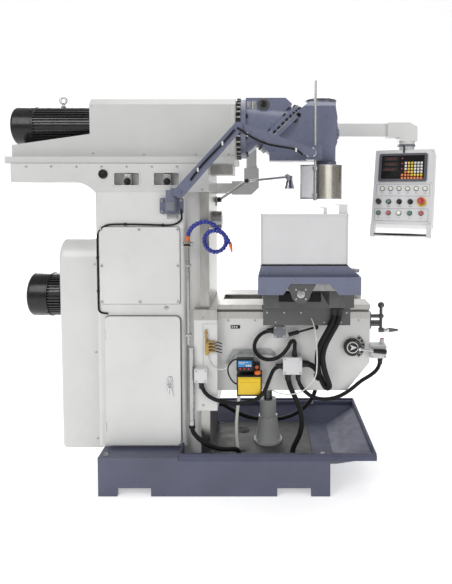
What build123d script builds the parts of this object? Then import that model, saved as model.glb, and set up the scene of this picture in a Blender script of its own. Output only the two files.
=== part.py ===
"""Universal knee-type milling machine with a sliding ram and a two-axis swivel head.

Millimetres. +X runs from the belt cover at the rear to the operator's side of the knee, +Y along the
table, +Z up. The origin is the middle of the base's underside. Every piece is written at its rest place.
"""

from build123d import *
import math
import os

os.makedirs("parts", exist_ok=True)

# ---------------------------------------------------------------- clearances and common sheet sizes
GAP = 0.5                  # sliding clearance between machined faces
RUN = 0.05                 # radial running clearance of a shaft in its bearing
SEAT = 0.2                 # daylight left where two bolted pieces of different bodies face each other
SHEET = 4                  # sheet-metal covers
CAST_WALL = 24             # casting walls

# ---------------------------------------------------------------- base, tray and sump
BASE_LENGTH, BASE_WIDTH, BASE_HEIGHT = 1096, 700, 187
DECK_Z = 100               # top of the low front deck that carries the tray
RIM_Z = 173                # underside of the tray's rim
RIM_HEIGHT = 24
TRAY_OVERHANG = 218        # how far the tray reaches past the base's front end
TRAY_FLOOR_HALF = 235
TRAY_SHEET = 6
FORK_SLOT_LENGTH, FORK_SLOT_HEIGHT = 160, 40
FORK_SLOT_INSET = 90
ANCHOR_R = 11
ANCHOR_INSET = 33
ANCHOR_HALF = 300
SUMP_COVER_THICK = 6
DRAIN_R = 36

base_x0, base_x1 = -BASE_LENGTH / 2, BASE_LENGTH / 2
base_half = BASE_WIDTH / 2
rim_x1 = base_x1 + TRAY_OVERHANG
rim_top = RIM_Z + RIM_HEIGHT
tray_floor_z = DECK_Z + SEAT + TRAY_SHEET
sump_top = tray_floor_z + SUMP_COVER_THICK

# ---------------------------------------------------------------- column and ram housing
COLUMN_FRONT = -30
COLUMN_LENGTH, COLUMN_WIDTH, COLUMN_TOP = 545, 460, 1435
WAY_DEPTH, WAY_HALF = 45, 215        # the flange that the knee slides on
NECK_DEPTH, NECK_HALF = 68, 190      # the narrower neck behind that flange
HOUSING_HEIGHT = 137
HOUSING_OVERHANG = 399               # rearward reach past the column
HOUSING_TAIL_HEIGHT = 89
WINDOW_SIZE = (128, 67, 45)          # clamp pockets: length, height, depth
DOOR_LENGTH, DOOR_HEIGHT = 365, 636
DOOR_FOOT = 200
HINGE_R, HINGE_LENGTH, HINGE_INSET = 4, 42, 70
COVER_LENGTH, COVER_HEIGHT = 388, 373
COVER_FOOT = 895

column_rear = COLUMN_FRONT - COLUMN_LENGTH
column_half = COLUMN_WIDTH / 2
way_back = COLUMN_FRONT - WAY_DEPTH
neck_back = way_back - NECK_DEPTH
housing_top = COLUMN_TOP + HOUSING_HEIGHT
housing_rear = column_rear - HOUSING_OVERHANG
side_plate_y = -column_half          # the face that carries the door and the cover
panel_x1 = neck_back - 26            # both panels end just behind the column's rounded corner
door_x0 = panel_x1 - DOOR_LENGTH
tray_left = neck_back - 23
tray_back_edge = tray_left + 8

# ---------------------------------------------------------------- horizontal spindle and its drive
HSPINDLE_Z = 1290
GEAR_MODULE, SPINDLE_TEETH, PINION_TEETH = 5, 44, 38
GEAR_WIDTH = 34
GEAR_X = -420
HSPINDLE_R, INPUT_R, MOTOR_SHAFT_R = 32, 20, 14
INPUT_PULLEY_R, MOTOR_PULLEY_R = 80, 50
PULLEY_WIDTH, PULLEY_X = 54, -700
MOTOR_PULLEY_Z = 900
BELT_THICK, BELT_COUNT = 8, 3
BELT_COVER_LENGTH, BELT_COVER_WIDTH, BELT_COVER_HEIGHT, BELT_COVER_FOOT = 205, 340, 1051, 152
SPINDLE_MOTOR_R, SPINDLE_MOTOR_LENGTH = 115, 190

input_z = HSPINDLE_Z - GEAR_MODULE * (SPINDLE_TEETH + PINION_TEETH) / 2
belt_cover_x1 = column_rear - 1
belt_cover_x0 = belt_cover_x1 - BELT_COVER_LENGTH

# ---------------------------------------------------------------- ram
RAM_AXIS_Z = 1757
RAM_FLANGE_HEIGHT, RAM_FLANGE_HALF = 32, 225
RAM_TAIL = 29              # flange reach past the housing's rear end
RAM_SLIDE_HALF, RAM_SLIDE_DEPTH = 118, 52
RAM_NOSE = 118             # front face of the ram
RAM_BODY_HALF, RAM_BODY_REAR = 140, -590
RAM_COVER_HALF, RAM_COVER_REAR, RAM_COVER_TOP = 165, -614, 1890
RAM_COVER_CHAMFER = 30
CRADLE_REAR_Z, CRADLE_FRONT_Z = 1664, 1718
RAM_MOTOR_R, RAM_MOTOR_LENGTH, RAM_MOTOR_Z = 98, 424, 1772

flange_z0 = housing_top + GAP
flange_z1 = flange_z0 + RAM_FLANGE_HEIGHT
flange_rear = housing_rear - RAM_TAIL
slide_z0 = flange_z0 - RAM_SLIDE_DEPTH

# ---------------------------------------------------------------- swivel head
FLANGE_R, FLANGE_THICK = 150, 26
SWIVEL_CENTRE_X = 320      # where the slanted swivel axis meets the ram's axis
SWIVEL_GAP = 1
HEAD_HALF = 112
SPINDLE_X = 552
SPINDLE_R = 30
SLEEVE_R, SLEEVE_FOOT = 46, 1440
HEAD_FOOT = 1592
HEAD_TOP = 1890
NOSE_R, NOSE_FOOT = 43, 1408
TAPER_MOUTH_R, TAPER_DEPTH, DRAWBAR_R = 22.2, 68, 9

knuckle_x0 = RAM_NOSE + SWIVEL_GAP
swivel_axis = (math.sqrt(0.5), 0, -math.sqrt(0.5))

# ---------------------------------------------------------------- spindle guard
GUARD_ROD_X, GUARD_ROD_Y, GUARD_ROD_R = 485, -165, 6
GUARD_ROD_TOP = 1976
GUARD_R, GUARD_THICK = 114, 4
GUARD_CENTRE = (522, -5)
GUARD_START, GUARD_END = 208, 342     # degrees round the guard's own centre
GUARD_FOOT, GUARD_HEIGHT = 1400, 172
BLOCK_FOOT, BLOCK_HEIGHT, BLOCK_HALF = 1592, 70, 24

# ---------------------------------------------------------------- knee, saddle and table
KNEE_FRONT = 755
KNEE_HALF, KNEE_TOP, KNEE_FOOT = 200, 850, 457
KNEE_UP = 150              # upward travel of the knee
KNEE_CHAMFER = (111, 140)
CHEEK_HALF, CHEEK_TOP, CHEEK_FOOT = 245, 870, 371
BACK_PLATE = 38
KEEPER = 28
WAY_TOP_HEIGHT, WAY_TOP_HALF, WAY_NECK_HEIGHT, WAY_NECK_HALF = 23, 205, 12, 175
BAND_HEIGHT, BAND_PROUD = 32, 3
SCREW_X, SCREW_R = 256, 22
PEDESTAL_TOP, PEDESTAL_SHOULDER = 340, 248

SADDLE_X0, SADDLE_LENGTH = 231, 412
SADDLE_HALF, SADDLE_SKIRT, SADDLE_PLATE = 300, 78, 10
UPPER_SADDLE_HALF, UPPER_SADDLE_HEIGHT, UPPER_SADDLE_LENGTH = 330, 72, 424
SLOT_X0, SLOT_LENGTH, SLOT_DEPTH = 296, 205, 42

TABLE_LENGTH, TABLE_WIDTH, TABLE_SLAB, TABLE_RAIL = 1325, 360, 60, 70
TABLE_X = 398              # middle of the table's width
TEE_SLOTS, TEE_PITCH, TEE_WIDTH, TEE_WIDE = 3, 80, 18, 32
TEE_DEPTH, TEE_FOOT = 18, 14
LEADSCREW_X, LEADSCREW_Z, LEADSCREW_R = 383, 1030, 15
HANDWHEEL_R = 95
END_TRAY_DEPTH, END_TRAY_SHEET = 38, 6
SPLASH_HEIGHT, SPLASH_LENGTH = 206, 348

column_half_gap = WAY_HALF + 2
knee_back = COLUMN_FRONT + GAP
knee_body_x0 = knee_back + 5
way_z0 = KNEE_TOP + WAY_NECK_HEIGHT
way_z1 = way_z0 + WAY_TOP_HEIGHT
saddle_z0 = way_z1 + GAP
saddle_z1 = saddle_z0 + SADDLE_PLATE
saddle_x1 = SADDLE_X0 + SADDLE_LENGTH
upper_z1 = saddle_z1 + UPPER_SADDLE_HEIGHT
rail_z0 = upper_z1 + GAP
slab_z0 = rail_z0 + TABLE_RAIL
table_top = slab_z0 + TABLE_SLAB
table_half = TABLE_LENGTH / 2
table_x0, table_x1 = TABLE_X - TABLE_WIDTH / 2, TABLE_X + TABLE_WIDTH / 2

# ---------------------------------------------------------------- knee fittings
CRANK_Z, CRANK_R = 782, 75
SECOND_SHAFT = (114, 716)             # y, z of the elevating shaft's housing
LEVER_X, LEVER_Z, LEVER_LENGTH = 668, 677, 161
LOCK_X, LOCK_Z = 488, 783
LUBE_X0, LUBE_X1, LUBE_FOOT, LUBE_SHELF, LUBE_TOP = 102, 228, 466, 562, 644
CONDUIT_R = 9

# ---------------------------------------------------------------- arms, lamp, pendant
ARM_SHOULDER, ARM_ELBOW, ARM_WRIST = (-156, 1436), (115, 1736), (452, 1622)
ARM_THICK = 12
SWING_ROOM = 30            # room beside the cable arm's boss for the tilting head's corner
ARM_Y = -296               # far face of the lower link
LAMP_Y = 170
LAMP_SHOULDER, LAMP_ELBOW, LAMP_WRIST = (-10, 1392), (140, 1495), (362, 1518)
LAMP_ROD_R = 7
PENDANT_Y, PENDANT_TUBE = 340, 72
PENDANT_PIVOT_X = 162
PENDANT_TOP = 1825
PENDANT_LOW, PENDANT_NECK = 1460, 110  # the lower tube's height, and how far its elbow rises above it
PANEL_X = 1058
PANEL_TOP = 1660
PANEL_SIZE = (328, 110, 436)          # width, depth, height
PANEL_TURN, PANEL_TILT = -23, -15
BUTTON_R, BUTTON_STAND, BUTTON_TRAVEL = 11, 9, 4
STOP_R = 20


# ---------------------------------------------------------------- helpers
def block(x, y, z):
    """A box between two limits on each axis."""
    size = [b - a for a, b in (x, y, z)]
    middle = [(a + b) / 2 for a, b in (x, y, z)]
    return Pos(*middle) * Box(*size)


def rounded(x, y, z, radius, axis=Axis.Z):
    """A box with its four edges along one axis rounded."""
    solid = block(x, y, z)
    return fillet(solid.edges().filter_by(axis), radius)


def rod(axis, at, radius, start, end):
    """A cylinder along an axis, through the point at on the other two axes."""
    middle, length = (start + end) / 2, end - start
    if axis == "x":
        return Pos(middle, at[0], at[1]) * Rot(0, 90, 0) * Cylinder(radius, length)
    if axis == "y":
        return Pos(at[0], middle, at[1]) * Rot(90, 0, 0) * Cylinder(radius, length)
    return Pos(at[0], at[1], middle) * Cylinder(radius, length)


def cone(axis, at, start_radius, end_radius, start, end):
    """A cone from one radius at start to another at end."""
    body = Cone(start_radius, end_radius, end - start)
    middle = (start + end) / 2
    if axis == "x":
        return Pos(middle, at[0], at[1]) * Rot(0, 90, 0) * body
    return Pos(at[0], at[1], middle) * body


def plate_xz(points, y0, y1):
    """An outline in XZ, extruded from y0 to y1."""
    face = make_face(Polyline(*points, close=True))
    return extrude(Plane.XZ.offset(-y1) * face, amount=y1 - y0)


def plate_yz(points, x0, x1):
    """An outline in YZ, extruded from x0 to x1."""
    face = make_face(Polyline(*points, close=True))
    return extrude(Plane.YZ.offset(x0) * face, amount=x1 - x0)


def bar(start, end, radius):
    """A round bar between two points."""
    a, b = Vector(*start), Vector(*end)
    plane = Plane(origin=a, z_dir=(b - a).normalized())
    return extrude(plane * Circle(radius), amount=(b - a).length)


def link_xz(start, end, start_half, end_half, y0, y1):
    """A flat tapered link between two pivots, with round ends."""
    a, b = Vector(start[0], start[1], 0), Vector(end[0], end[1], 0)
    side = (b - a).normalized().rotate(Axis.Z, 90)
    corners = [a + side * start_half, b + side * end_half, b - side * end_half, a - side * start_half]
    body = plate_xz([(c.X, c.Y) for c in corners], y0, y1)
    return body + rod("y", start, start_half, y0, y1) + rod("y", end, end_half, y0, y1)


def frustum(low, low_z, high, high_z):
    """A straight-sided hopper between two rectangles, each ((x0, x1), half width)."""
    faces = []
    for (x, half), z in ((low, low_z), (high, high_z)):
        outline = Rectangle(x[1] - x[0], 2 * half)
        faces.append(Pos((x[0] + x[1]) / 2, 0, z) * outline)
    return loft(faces, ruled=True)


def tube_path(points, radius):
    """A tube along straight runs joined by arcs as large as the runs allow."""
    radii = []
    for before, here, after in zip(points, points[1:], points[2:]):
        p, q, r = Vector(*before), Vector(*here), Vector(*after)
        turn = (q - p).get_angle(r - q)
        short = min((q - p).length, (r - q).length)
        radii.append(0.45 * short / math.tan(math.radians(turn) / 2))
    path = FilletPolyline(*points, radius=radii)
    start = Plane(origin=path @ 0, z_dir=path % 0)
    return sweep(start * Circle(radius), path=path)


def gear(teeth, hub_r, width, phase):
    """A spur gear on the local Z axis, with straight-flanked teeth narrowed for backlash."""
    pitch_r = GEAR_MODULE * teeth / 2
    root, tip = pitch_r - 1.25 * GEAR_MODULE, pitch_r + 0.85 * GEAR_MODULE
    step = 2 * math.pi / teeth
    points = []
    for k in range(teeth):
        middle = k * step + phase
        for radius, share in ((root, -0.34), (tip, -0.13), (tip, 0.13), (root, 0.34)):
            angle = middle + share * step
            points.append((radius * math.cos(angle), radius * math.sin(angle)))
    body = extrude(make_face(Polyline(*points, close=True)), amount=width)
    return body - Pos(0, 0, width / 2) * Cylinder(hub_r, width + 2)


def write(name, *solids):
    """Writes a node from one or more solids."""
    shape = solids[0] if len(solids) == 1 else Compound(children=list(solids))
    export_step(shape, f"parts/{name}.step")


# ---------------------------------------------------------------- base
def base_casting():
    body = block((base_x0, tray_left - 2), (-base_half, base_half), (0, BASE_HEIGHT))
    body += block((tray_left - 2, base_x1), (-base_half, base_half), (0, DECK_Z))
    for side in (-1, 1):
        wall = sorted((side * base_half, side * (base_half - CAST_WALL)))
        body += block((tray_left - 2, base_x1), wall, (DECK_Z, RIM_Z))
    inner = base_half - CAST_WALL
    rib = CAST_WALL / 2
    body -= block((base_x0 + CAST_WALL, tray_left - CAST_WALL), (-inner, inner),
            (0, BASE_HEIGHT - CAST_WALL))
    body -= block((tray_left, -rib), (-inner, inner), (0, DECK_Z - CAST_WALL))
    body -= block((rib, base_x1 - CAST_WALL), (-inner, inner), (0, DECK_Z - CAST_WALL))
    for x0 in (base_x0 + FORK_SLOT_INSET, base_x1 - FORK_SLOT_INSET - FORK_SLOT_LENGTH):
        body -= block((x0, x0 + FORK_SLOT_LENGTH), (-base_half - 1, base_half + 1), (0, FORK_SLOT_HEIGHT))
    for x in (base_x0 + ANCHOR_INSET, base_x1 - ANCHOR_INSET):
        top = BASE_HEIGHT if x < 0 else DECK_Z
        for side in (-1, 1):
            body += rod("z", (x, side * ANCHOR_HALF), ANCHOR_R * 2.2, 0, top)
            body -= rod("z", (x, side * ANCHOR_HALF), ANCHOR_R, -1, top + 1)
    return body - rod("z", (SCREW_X, 0), SCREW_R + 2, -1, DECK_Z + 1)


def coolant_tray():
    floor, sheet = TRAY_FLOOR_HALF, TRAY_SHEET
    low_x = (tray_back_edge, base_x1 + 45)
    high_x = (tray_back_edge - 4, rim_x1 - sheet)
    mouth = base_half - CAST_WALL - 1
    pan = frustum((low_x, floor), DECK_Z + SEAT, (high_x, mouth), RIM_Z + SEAT)
    pan += block((tray_left, rim_x1), (-base_half - 2, base_half + 2), (RIM_Z + SEAT, rim_top))
    low_in = (low_x[0] + sheet, low_x[1] - sheet)
    high_in = (high_x[0] + sheet, high_x[1] - sheet)
    pan -= frustum((low_in, floor - sheet), tray_floor_z, (high_in, mouth - sheet), RIM_Z + SEAT)
    pan -= block(high_in, (-mouth + sheet, mouth - sheet), (RIM_Z + SEAT, rim_top + 1))
    pan -= block((tray_left - 1, COLUMN_FRONT + 6), (-column_half - 3, column_half + 3), (0, rim_top + 1))
    return pan - rod("z", (SCREW_X, 0), SCREW_R + 2, 0, tray_floor_z + 1)


drain_holes = [(118, 120), (112, -150)]


def sump_cover():
    half = TRAY_FLOOR_HALF - 10
    plate = block((COLUMN_FRONT + 12, base_x1 - 70), (-half, half), (tray_floor_z, sump_top))
    plate -= rod("z", (SCREW_X, 0), SCREW_R + 2, 0, sump_top + 1)
    for at in drain_holes:
        plate -= rod("z", at, DRAIN_R, 0, sump_top + 1)
    return plate


def screw_pedestal():
    at = (SCREW_X, 0)
    body = rod("z", at, SCREW_R + 53, sump_top, sump_top + 12)
    body += cone("z", at, SCREW_R + 44, SCREW_R + 26, sump_top + 12, PEDESTAL_SHOULDER)
    body += rod("z", at, SCREW_R + 21, PEDESTAL_SHOULDER, PEDESTAL_TOP)
    return body - rod("z", at, SCREW_R + 2, sump_top - 1, PEDESTAL_TOP + 1)


# ---------------------------------------------------------------- column
def column_casting():
    main = rounded((column_rear, neck_back), (-column_half, column_half),
            (BASE_HEIGHT + SEAT, COLUMN_TOP), 18)
    body = main + block((neck_back - 20, way_back), (-NECK_HALF, NECK_HALF), (DECK_Z + SEAT, COLUMN_TOP))
    body += block((way_back, COLUMN_FRONT), (-WAY_HALF, WAY_HALF), (DECK_Z + SEAT, COLUMN_TOP))
    inner = column_half - CAST_WALL
    body -= block((column_rear + CAST_WALL, neck_back - CAST_WALL), (-inner, inner),
            (BASE_HEIGHT, COLUMN_TOP - CAST_WALL))
    body -= block((neck_back - 40, way_back - CAST_WALL), (-NECK_HALF + 60, NECK_HALF - 60),
            (DECK_Z, COLUMN_TOP - 60))
    lip = 20
    body -= block((door_x0 + lip, panel_x1 - lip), (side_plate_y - 1, -inner + 1),
            (DOOR_FOOT + lip, DOOR_FOOT + DOOR_HEIGHT - lip))
    body -= block((panel_x1 - COVER_LENGTH + 30, panel_x1 - 30), (side_plate_y - 1, -inner + 1),
            (COVER_FOOT + 30, COVER_FOOT + COVER_HEIGHT - 30))
    body -= rod("x", (0, HSPINDLE_Z), HSPINDLE_R + RUN, column_rear - 1, COLUMN_FRONT + 1)
    body -= rod("x", (0, input_z), INPUT_R + RUN, column_rear - 1, column_rear + CAST_WALL + 1)
    return body


def top_housing():
    drop = HOUSING_HEIGHT - HOUSING_TAIL_HEIGHT
    reach = 119
    tail_z = COLUMN_TOP + drop
    start, end = (column_rear - reach, tail_z), (column_rear + 2, COLUMN_TOP)
    middle = (column_rear - reach * 0.42, tail_z - drop * 0.22)
    edges = [
        Line((housing_rear, housing_top), (housing_rear, tail_z)),
        Line((housing_rear, tail_z), start),
        ThreePointArc(start, middle, end),
        Line(end, (COLUMN_FRONT, COLUMN_TOP)),
        Line((COLUMN_FRONT, COLUMN_TOP), (COLUMN_FRONT, housing_top)),
        Line((COLUMN_FRONT, housing_top), (housing_rear, housing_top)),
    ]
    outline = make_face(Wire(edges))
    body = extrude(Plane.XZ.offset(-column_half) * outline, amount=COLUMN_WIDTH)
    half = RAM_SLIDE_HALF + GAP
    body -= block((housing_rear - 1, COLUMN_FRONT + 1), (-half, half), (slide_z0 - GAP, housing_top + 1))
    length, height, depth = WINDOW_SIZE
    for x0 in (column_rear + 90, column_rear + 280):
        for side in (-1, 1):
            face = sorted((side * (column_half + 1), side * (column_half - depth)))
            body -= block((x0, x0 + length), face, (COLUMN_TOP + 29, COLUMN_TOP + 29 + height))
    return body - block((column_rear + 40, COLUMN_FRONT - 40), (-150, 150), (COLUMN_TOP, slide_z0 - 25))


def electrical_cover():
    y0 = side_plate_y - 8
    plate = rounded((panel_x1 - COVER_LENGTH, panel_x1), (y0, side_plate_y),
            (COVER_FOOT, COVER_FOOT + COVER_HEIGHT), 14, Axis.Y)
    front = plate.faces().sort_by(Axis.Y)[0]
    return fillet(front.edges(), 3)


def cabinet_door():
    y0 = side_plate_y - SEAT - 20
    z0 = DOOR_FOOT
    plate = rounded((door_x0, panel_x1), (y0, side_plate_y - SEAT), (z0, z0 + DOOR_HEIGHT), 22, Axis.Y)
    front = plate.faces().sort_by(Axis.Y)[0]
    plate = fillet(front.edges(), 3)
    flange = HINGE_LENGTH / 3
    hollow = block((door_x0 + flange, panel_x1 - flange), (y0 + 3, side_plate_y + 1),
                   (z0 + flange, z0 + DOOR_HEIGHT - flange))
    for z in (z0 + HINGE_INSET, z0 + DOOR_HEIGHT - HINGE_INSET - HINGE_LENGTH):
        plate += rod("z", (door_x0, y0), HINGE_R, z, z + HINGE_LENGTH)
    return plate - hollow


def belt_cover():
    half = BELT_COVER_WIDTH / 2
    hangs_behind_base = base_x0 > belt_cover_x1
    z0 = BELT_COVER_FOOT if hangs_behind_base else BASE_HEIGHT + GAP
    z1 = BELT_COVER_FOOT + BELT_COVER_HEIGHT
    outer = block((belt_cover_x0, belt_cover_x1), (-half, half), (z0, z1))
    outer = fillet(outer.edges().filter_by(Axis.X).sort_by(Axis.Z)[-2:], 110)
    rear = outer.faces().sort_by(Axis.X)[0]
    outer = fillet(rear.edges(), 26)
    s = SHEET
    inner = block((belt_cover_x0 + s, belt_cover_x1 + 1), (-half + s, half - s), (z0 + s, z1 - s))
    inner = fillet(inner.edges().filter_by(Axis.X).sort_by(Axis.Z)[-2:], 110 - s)
    inner = fillet(inner.faces().sort_by(Axis.X)[0].edges(), 26 - s)
    return outer - inner - rod("x", (0, MOTOR_PULLEY_Z), MOTOR_SHAFT_R + 4, belt_cover_x0 - 1,
            belt_cover_x0 + s + 1)


def spindle_motor():
    at = (0, MOTOR_PULLEY_Z)
    x1 = belt_cover_x0 - SEAT
    x0 = x1 - SPINDLE_MOTOR_LENGTH
    body = rod("x", at, SPINDLE_MOTOR_R, x0 + 22, x1 - 60) + cone("x", at, SPINDLE_MOTOR_R - 26,
            SPINDLE_MOTOR_R, x0, x0 + 22)
    body += rod("x", at, SPINDLE_MOTOR_R - 8, x1 - 60, x1)
    return body - rod("x", at, MOTOR_SHAFT_R + 1, x1 - 50, x1 + 1)


def motor_pulley():
    at = (0, MOTOR_PULLEY_Z)
    shaft = rod("x", at, MOTOR_SHAFT_R, belt_cover_x0 - 48, PULLEY_X + PULLEY_WIDTH)
    return shaft + rod("x", at, MOTOR_PULLEY_R, PULLEY_X, PULLEY_X + PULLEY_WIDTH)


def input_shaft():
    at = (0, input_z)
    shaft = rod("x", at, INPUT_R, PULLEY_X, GEAR_X + GEAR_WIDTH + 20)
    shaft += rod("x", at, INPUT_PULLEY_R, PULLEY_X, PULLEY_X + PULLEY_WIDTH)
    half_tooth = math.pi / PINION_TEETH
    pinion = gear(PINION_TEETH, INPUT_R - 2, GEAR_WIDTH, half_tooth)
    return shaft + Pos(GEAR_X, 0, input_z) * Rot(0, 90, 0) * pinion


def horizontal_spindle():
    at = (0, HSPINDLE_Z)
    shaft = rod("x", at, HSPINDLE_R, column_rear + 4, COLUMN_FRONT + GAP)
    shaft += rod("x", at, HSPINDLE_R + 14, COLUMN_FRONT + GAP, COLUMN_FRONT + 46)
    wheel = gear(SPINDLE_TEETH, HSPINDLE_R - 2, GEAR_WIDTH, 0)
    shaft += Pos(GEAR_X, 0, HSPINDLE_Z) * Rot(0, 90, 0) * wheel
    front = COLUMN_FRONT + 46
    shaft -= cone("x", at, TAPER_MOUTH_R - 8, TAPER_MOUTH_R, front - TAPER_DEPTH, front)
    return shaft - rod("x", at, DRAWBAR_R, column_rear, front)


def drive_belts():
    belts = []
    pitch = PULLEY_WIDTH / BELT_COUNT
    low, high = MOTOR_PULLEY_R + 0.4, INPUT_PULLEY_R + 0.4
    distance = input_z - MOTOR_PULLEY_Z
    lean = math.asin((high - low) / distance)

    def loop(extra):
        r0, r1 = low + extra, high + extra
        c, s = math.cos(lean), -math.sin(lean)
        right = [(r0 * c, r0 * s), (r1 * c, distance + r1 * s)]
        left = [(-y, z) for y, z in right]
        face = make_face(Polyline(right[0], right[1], left[1], left[0], close=True))
        return face + Circle(r0) + Pos(0, distance) * Circle(r1)

    ring = loop(BELT_THICK) - loop(0)
    for k in range(BELT_COUNT):
        x0 = PULLEY_X + pitch * k + 3
        plane = Plane(origin=(x0, 0, MOTOR_PULLEY_Z), x_dir=(0, 1, 0), z_dir=(1, 0, 0))
        belts.append(extrude(plane * ring, amount=pitch - 6))
    return belts


# ---------------------------------------------------------------- ram
def ram_casting():
    body = block((flange_rear, RAM_NOSE - 20), (-RAM_FLANGE_HALF, RAM_FLANGE_HALF),
            (flange_z0, flange_z1))
    body += block((flange_rear + 60, RAM_NOSE - 38), (-RAM_SLIDE_HALF, RAM_SLIDE_HALF),
            (slide_z0, flange_z0))
    beam_top = RAM_COVER_TOP - 40
    body += block((RAM_BODY_REAR, RAM_NOSE - 20), (-RAM_BODY_HALF, RAM_BODY_HALF), (flange_z1, beam_top))
    body += rod("x", (0, RAM_AXIS_Z), FLANGE_R, RAM_NOSE - 20, RAM_NOSE)
    wall = CAST_WALL
    body -= block((RAM_BODY_REAR + wall, RAM_NOSE - 20 - wall),
            (-RAM_BODY_HALF + wall, RAM_BODY_HALF - wall), (flange_z1, beam_top - wall))
    body -= rod("x", (0, RAM_AXIS_Z), 60, RAM_NOSE - 60, RAM_NOSE + 1)
    return body - rod("x", (0, RAM_MOTOR_Z), 60, RAM_BODY_REAR - 1, RAM_BODY_REAR + wall + 1)


def ram_cover():
    z0, z1 = flange_z1 + SEAT, RAM_COVER_TOP
    rear, nose = RAM_COVER_REAR, RAM_NOSE - 22
    cradle_rear = flange_rear + 8

    def shell(inset):
        half, c = RAM_COVER_HALF - inset, RAM_COVER_CHAMFER
        top = z1 - inset
        section = [(-half, z0), (half, z0), (half, top - c), (half - c, top), (c - half, top),
                (-half, top - c)]
        return plate_yz(section, rear + inset, nose - inset if inset else nose)

    body = shell(0) - shell(SHEET) - block((rear + SHEET, nose - SHEET),
            (-RAM_BODY_HALF - 16, RAM_BODY_HALF + 16), (z0 - 1, z0 + 20))
    body -= block((nose - SHEET - 1, nose + 1), (-RAM_BODY_HALF - 6, RAM_BODY_HALF + 6),
            (z0 - 1, RAM_COVER_TOP - 30))
    side = [(cradle_rear, z0), (cradle_rear, CRADLE_REAR_Z), (rear + 1, CRADLE_FRONT_Z), (rear + 1, z0)]
    half = RAM_COVER_HALF
    body += plate_xz(side, -half, -half + SHEET) + plate_xz(side, half - SHEET, half)
    body += block((cradle_rear, cradle_rear + SHEET), (-half, half), (z0, CRADLE_REAR_Z))
    return body - rod("x", (0, RAM_MOTOR_Z), RAM_MOTOR_R + 3, rear - 30, rear + SHEET + 1)


def ram_motor():
    at = (0, RAM_MOTOR_Z)
    x1 = RAM_BODY_REAR - SEAT
    x0 = x1 - RAM_MOTOR_LENGTH - 24
    body = rod("x", at, RAM_MOTOR_R - 10, x0 + 110, x1)
    body += rod("x", at, RAM_MOTOR_R, x0 + 14, x0 + 116) + cone("x", at, RAM_MOTOR_R - 18, RAM_MOTOR_R,
            x0, x0 + 14)
    eye_x = x0 + 240
    top = RAM_MOTOR_Z + RAM_MOTOR_R
    stem = rod("z", (eye_x, 0), 8, top - 12, top + 10)
    ring = Pos(eye_x, 0, top + 26) * Rot(90, 0, 0) * Torus(17, 6)
    return [body - rod("z", (eye_x, 0), 8, top - 30, top + 1), stem + ring]


# ---------------------------------------------------------------- swivel head
def swivel_plane(offset=0):
    """The plane between the two halves of the head; its normal is the slanted swivel axis."""
    centre = Vector(SWIVEL_CENTRE_X, 0, RAM_AXIS_Z) + Vector(*swivel_axis) * offset
    return Plane(origin=centre, x_dir=(0, 1, 0), z_dir=swivel_axis)


def head_knuckle():
    x0, x1 = knuckle_x0, knuckle_x0 + FLANGE_THICK
    ring = rod("x", (0, RAM_AXIS_Z), FLANGE_R, x0, x1)
    upright = Plane(origin=(x1 - 1, 0, RAM_AXIS_Z), x_dir=(0, 1, 0), z_dir=(1, 0, 0))
    body = loft([upright * Circle(FLANGE_R - 14), swivel_plane(-18) * Circle(FLANGE_R - 12)])
    disc = extrude(swivel_plane(-FLANGE_THICK) * Circle(FLANGE_R), amount=FLANGE_THICK - SWIVEL_GAP)
    top = RAM_AXIS_Z + FLANGE_R - 4
    brow = [(x1 - 1, top), (x1 + 198, top), (x1 + 230, top - 30), (x1 + 110, RAM_AXIS_Z),
            (x1 - 1, RAM_AXIS_Z)]
    body += plate_xz(brow, -HEAD_HALF + 12, HEAD_HALF - 12)
    keep = extrude(swivel_plane(-SWIVEL_GAP) * Rectangle(900, 900), amount=-600)
    return (ring + (body & keep) + disc) - rod("x", (0, RAM_AXIS_Z), 46, x0 - 1, x1 + 40)


def head_body():
    disc = extrude(swivel_plane(0) * Circle(FLANGE_R), amount=FLANGE_THICK)
    s = SPINDLE_X
    side = [
        (s - 87, HEAD_TOP - 2), (s + 34, HEAD_TOP - 8), (s + 48, HEAD_TOP - 84), (s + 36, HEAD_FOOT + 8),
        (s + 34, HEAD_FOOT), (s - 152, HEAD_FOOT), (s - 290, HEAD_FOOT), (s - 291, HEAD_FOOT + 36),
        (s - 330, HEAD_FOOT + 76),
        (s - 128, HEAD_TOP - 36),
    ]
    body = plate_xz(side, -HEAD_HALF, HEAD_HALF)
    keep = extrude(swivel_plane(0) * Rectangle(1200, 1200), amount=900)
    body = body & keep
    half, bevel = HEAD_HALF, 26
    low, high = HEAD_FOOT, HEAD_TOP - 2
    section = [
        (-half, low + bevel), (bevel - half, low), (half - bevel, low), (half, low + bevel),
        (half, high - bevel), (half - bevel, high), (bevel - half, high), (-half, high - bevel),
    ]
    body = body & plate_yz(section, 0, s + 100)
    barrel = rod("z", (s - 25, 0), 78, HEAD_FOOT, HEAD_TOP + 8)
    body = body + disc + barrel + rod("x", (0, RAM_AXIS_Z - 20), 66, s + 30, s + 55)
    block_y = (GUARD_ROD_Y - BLOCK_HALF, -HEAD_HALF + 30)
    body += rounded((GUARD_ROD_X - 42, GUARD_ROD_X + 32), block_y,
            (BLOCK_FOOT, BLOCK_FOOT + BLOCK_HEIGHT), 8, Axis.Y)
    body -= rod("z", (GUARD_ROD_X, GUARD_ROD_Y), GUARD_ROD_R + RUN * 4, BLOCK_FOOT - 200, GUARD_ROD_TOP)
    body -= rod("z", (s, 0), SPINDLE_R + 1, HEAD_FOOT - 1, HEAD_TOP - 30)
    return body


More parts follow.
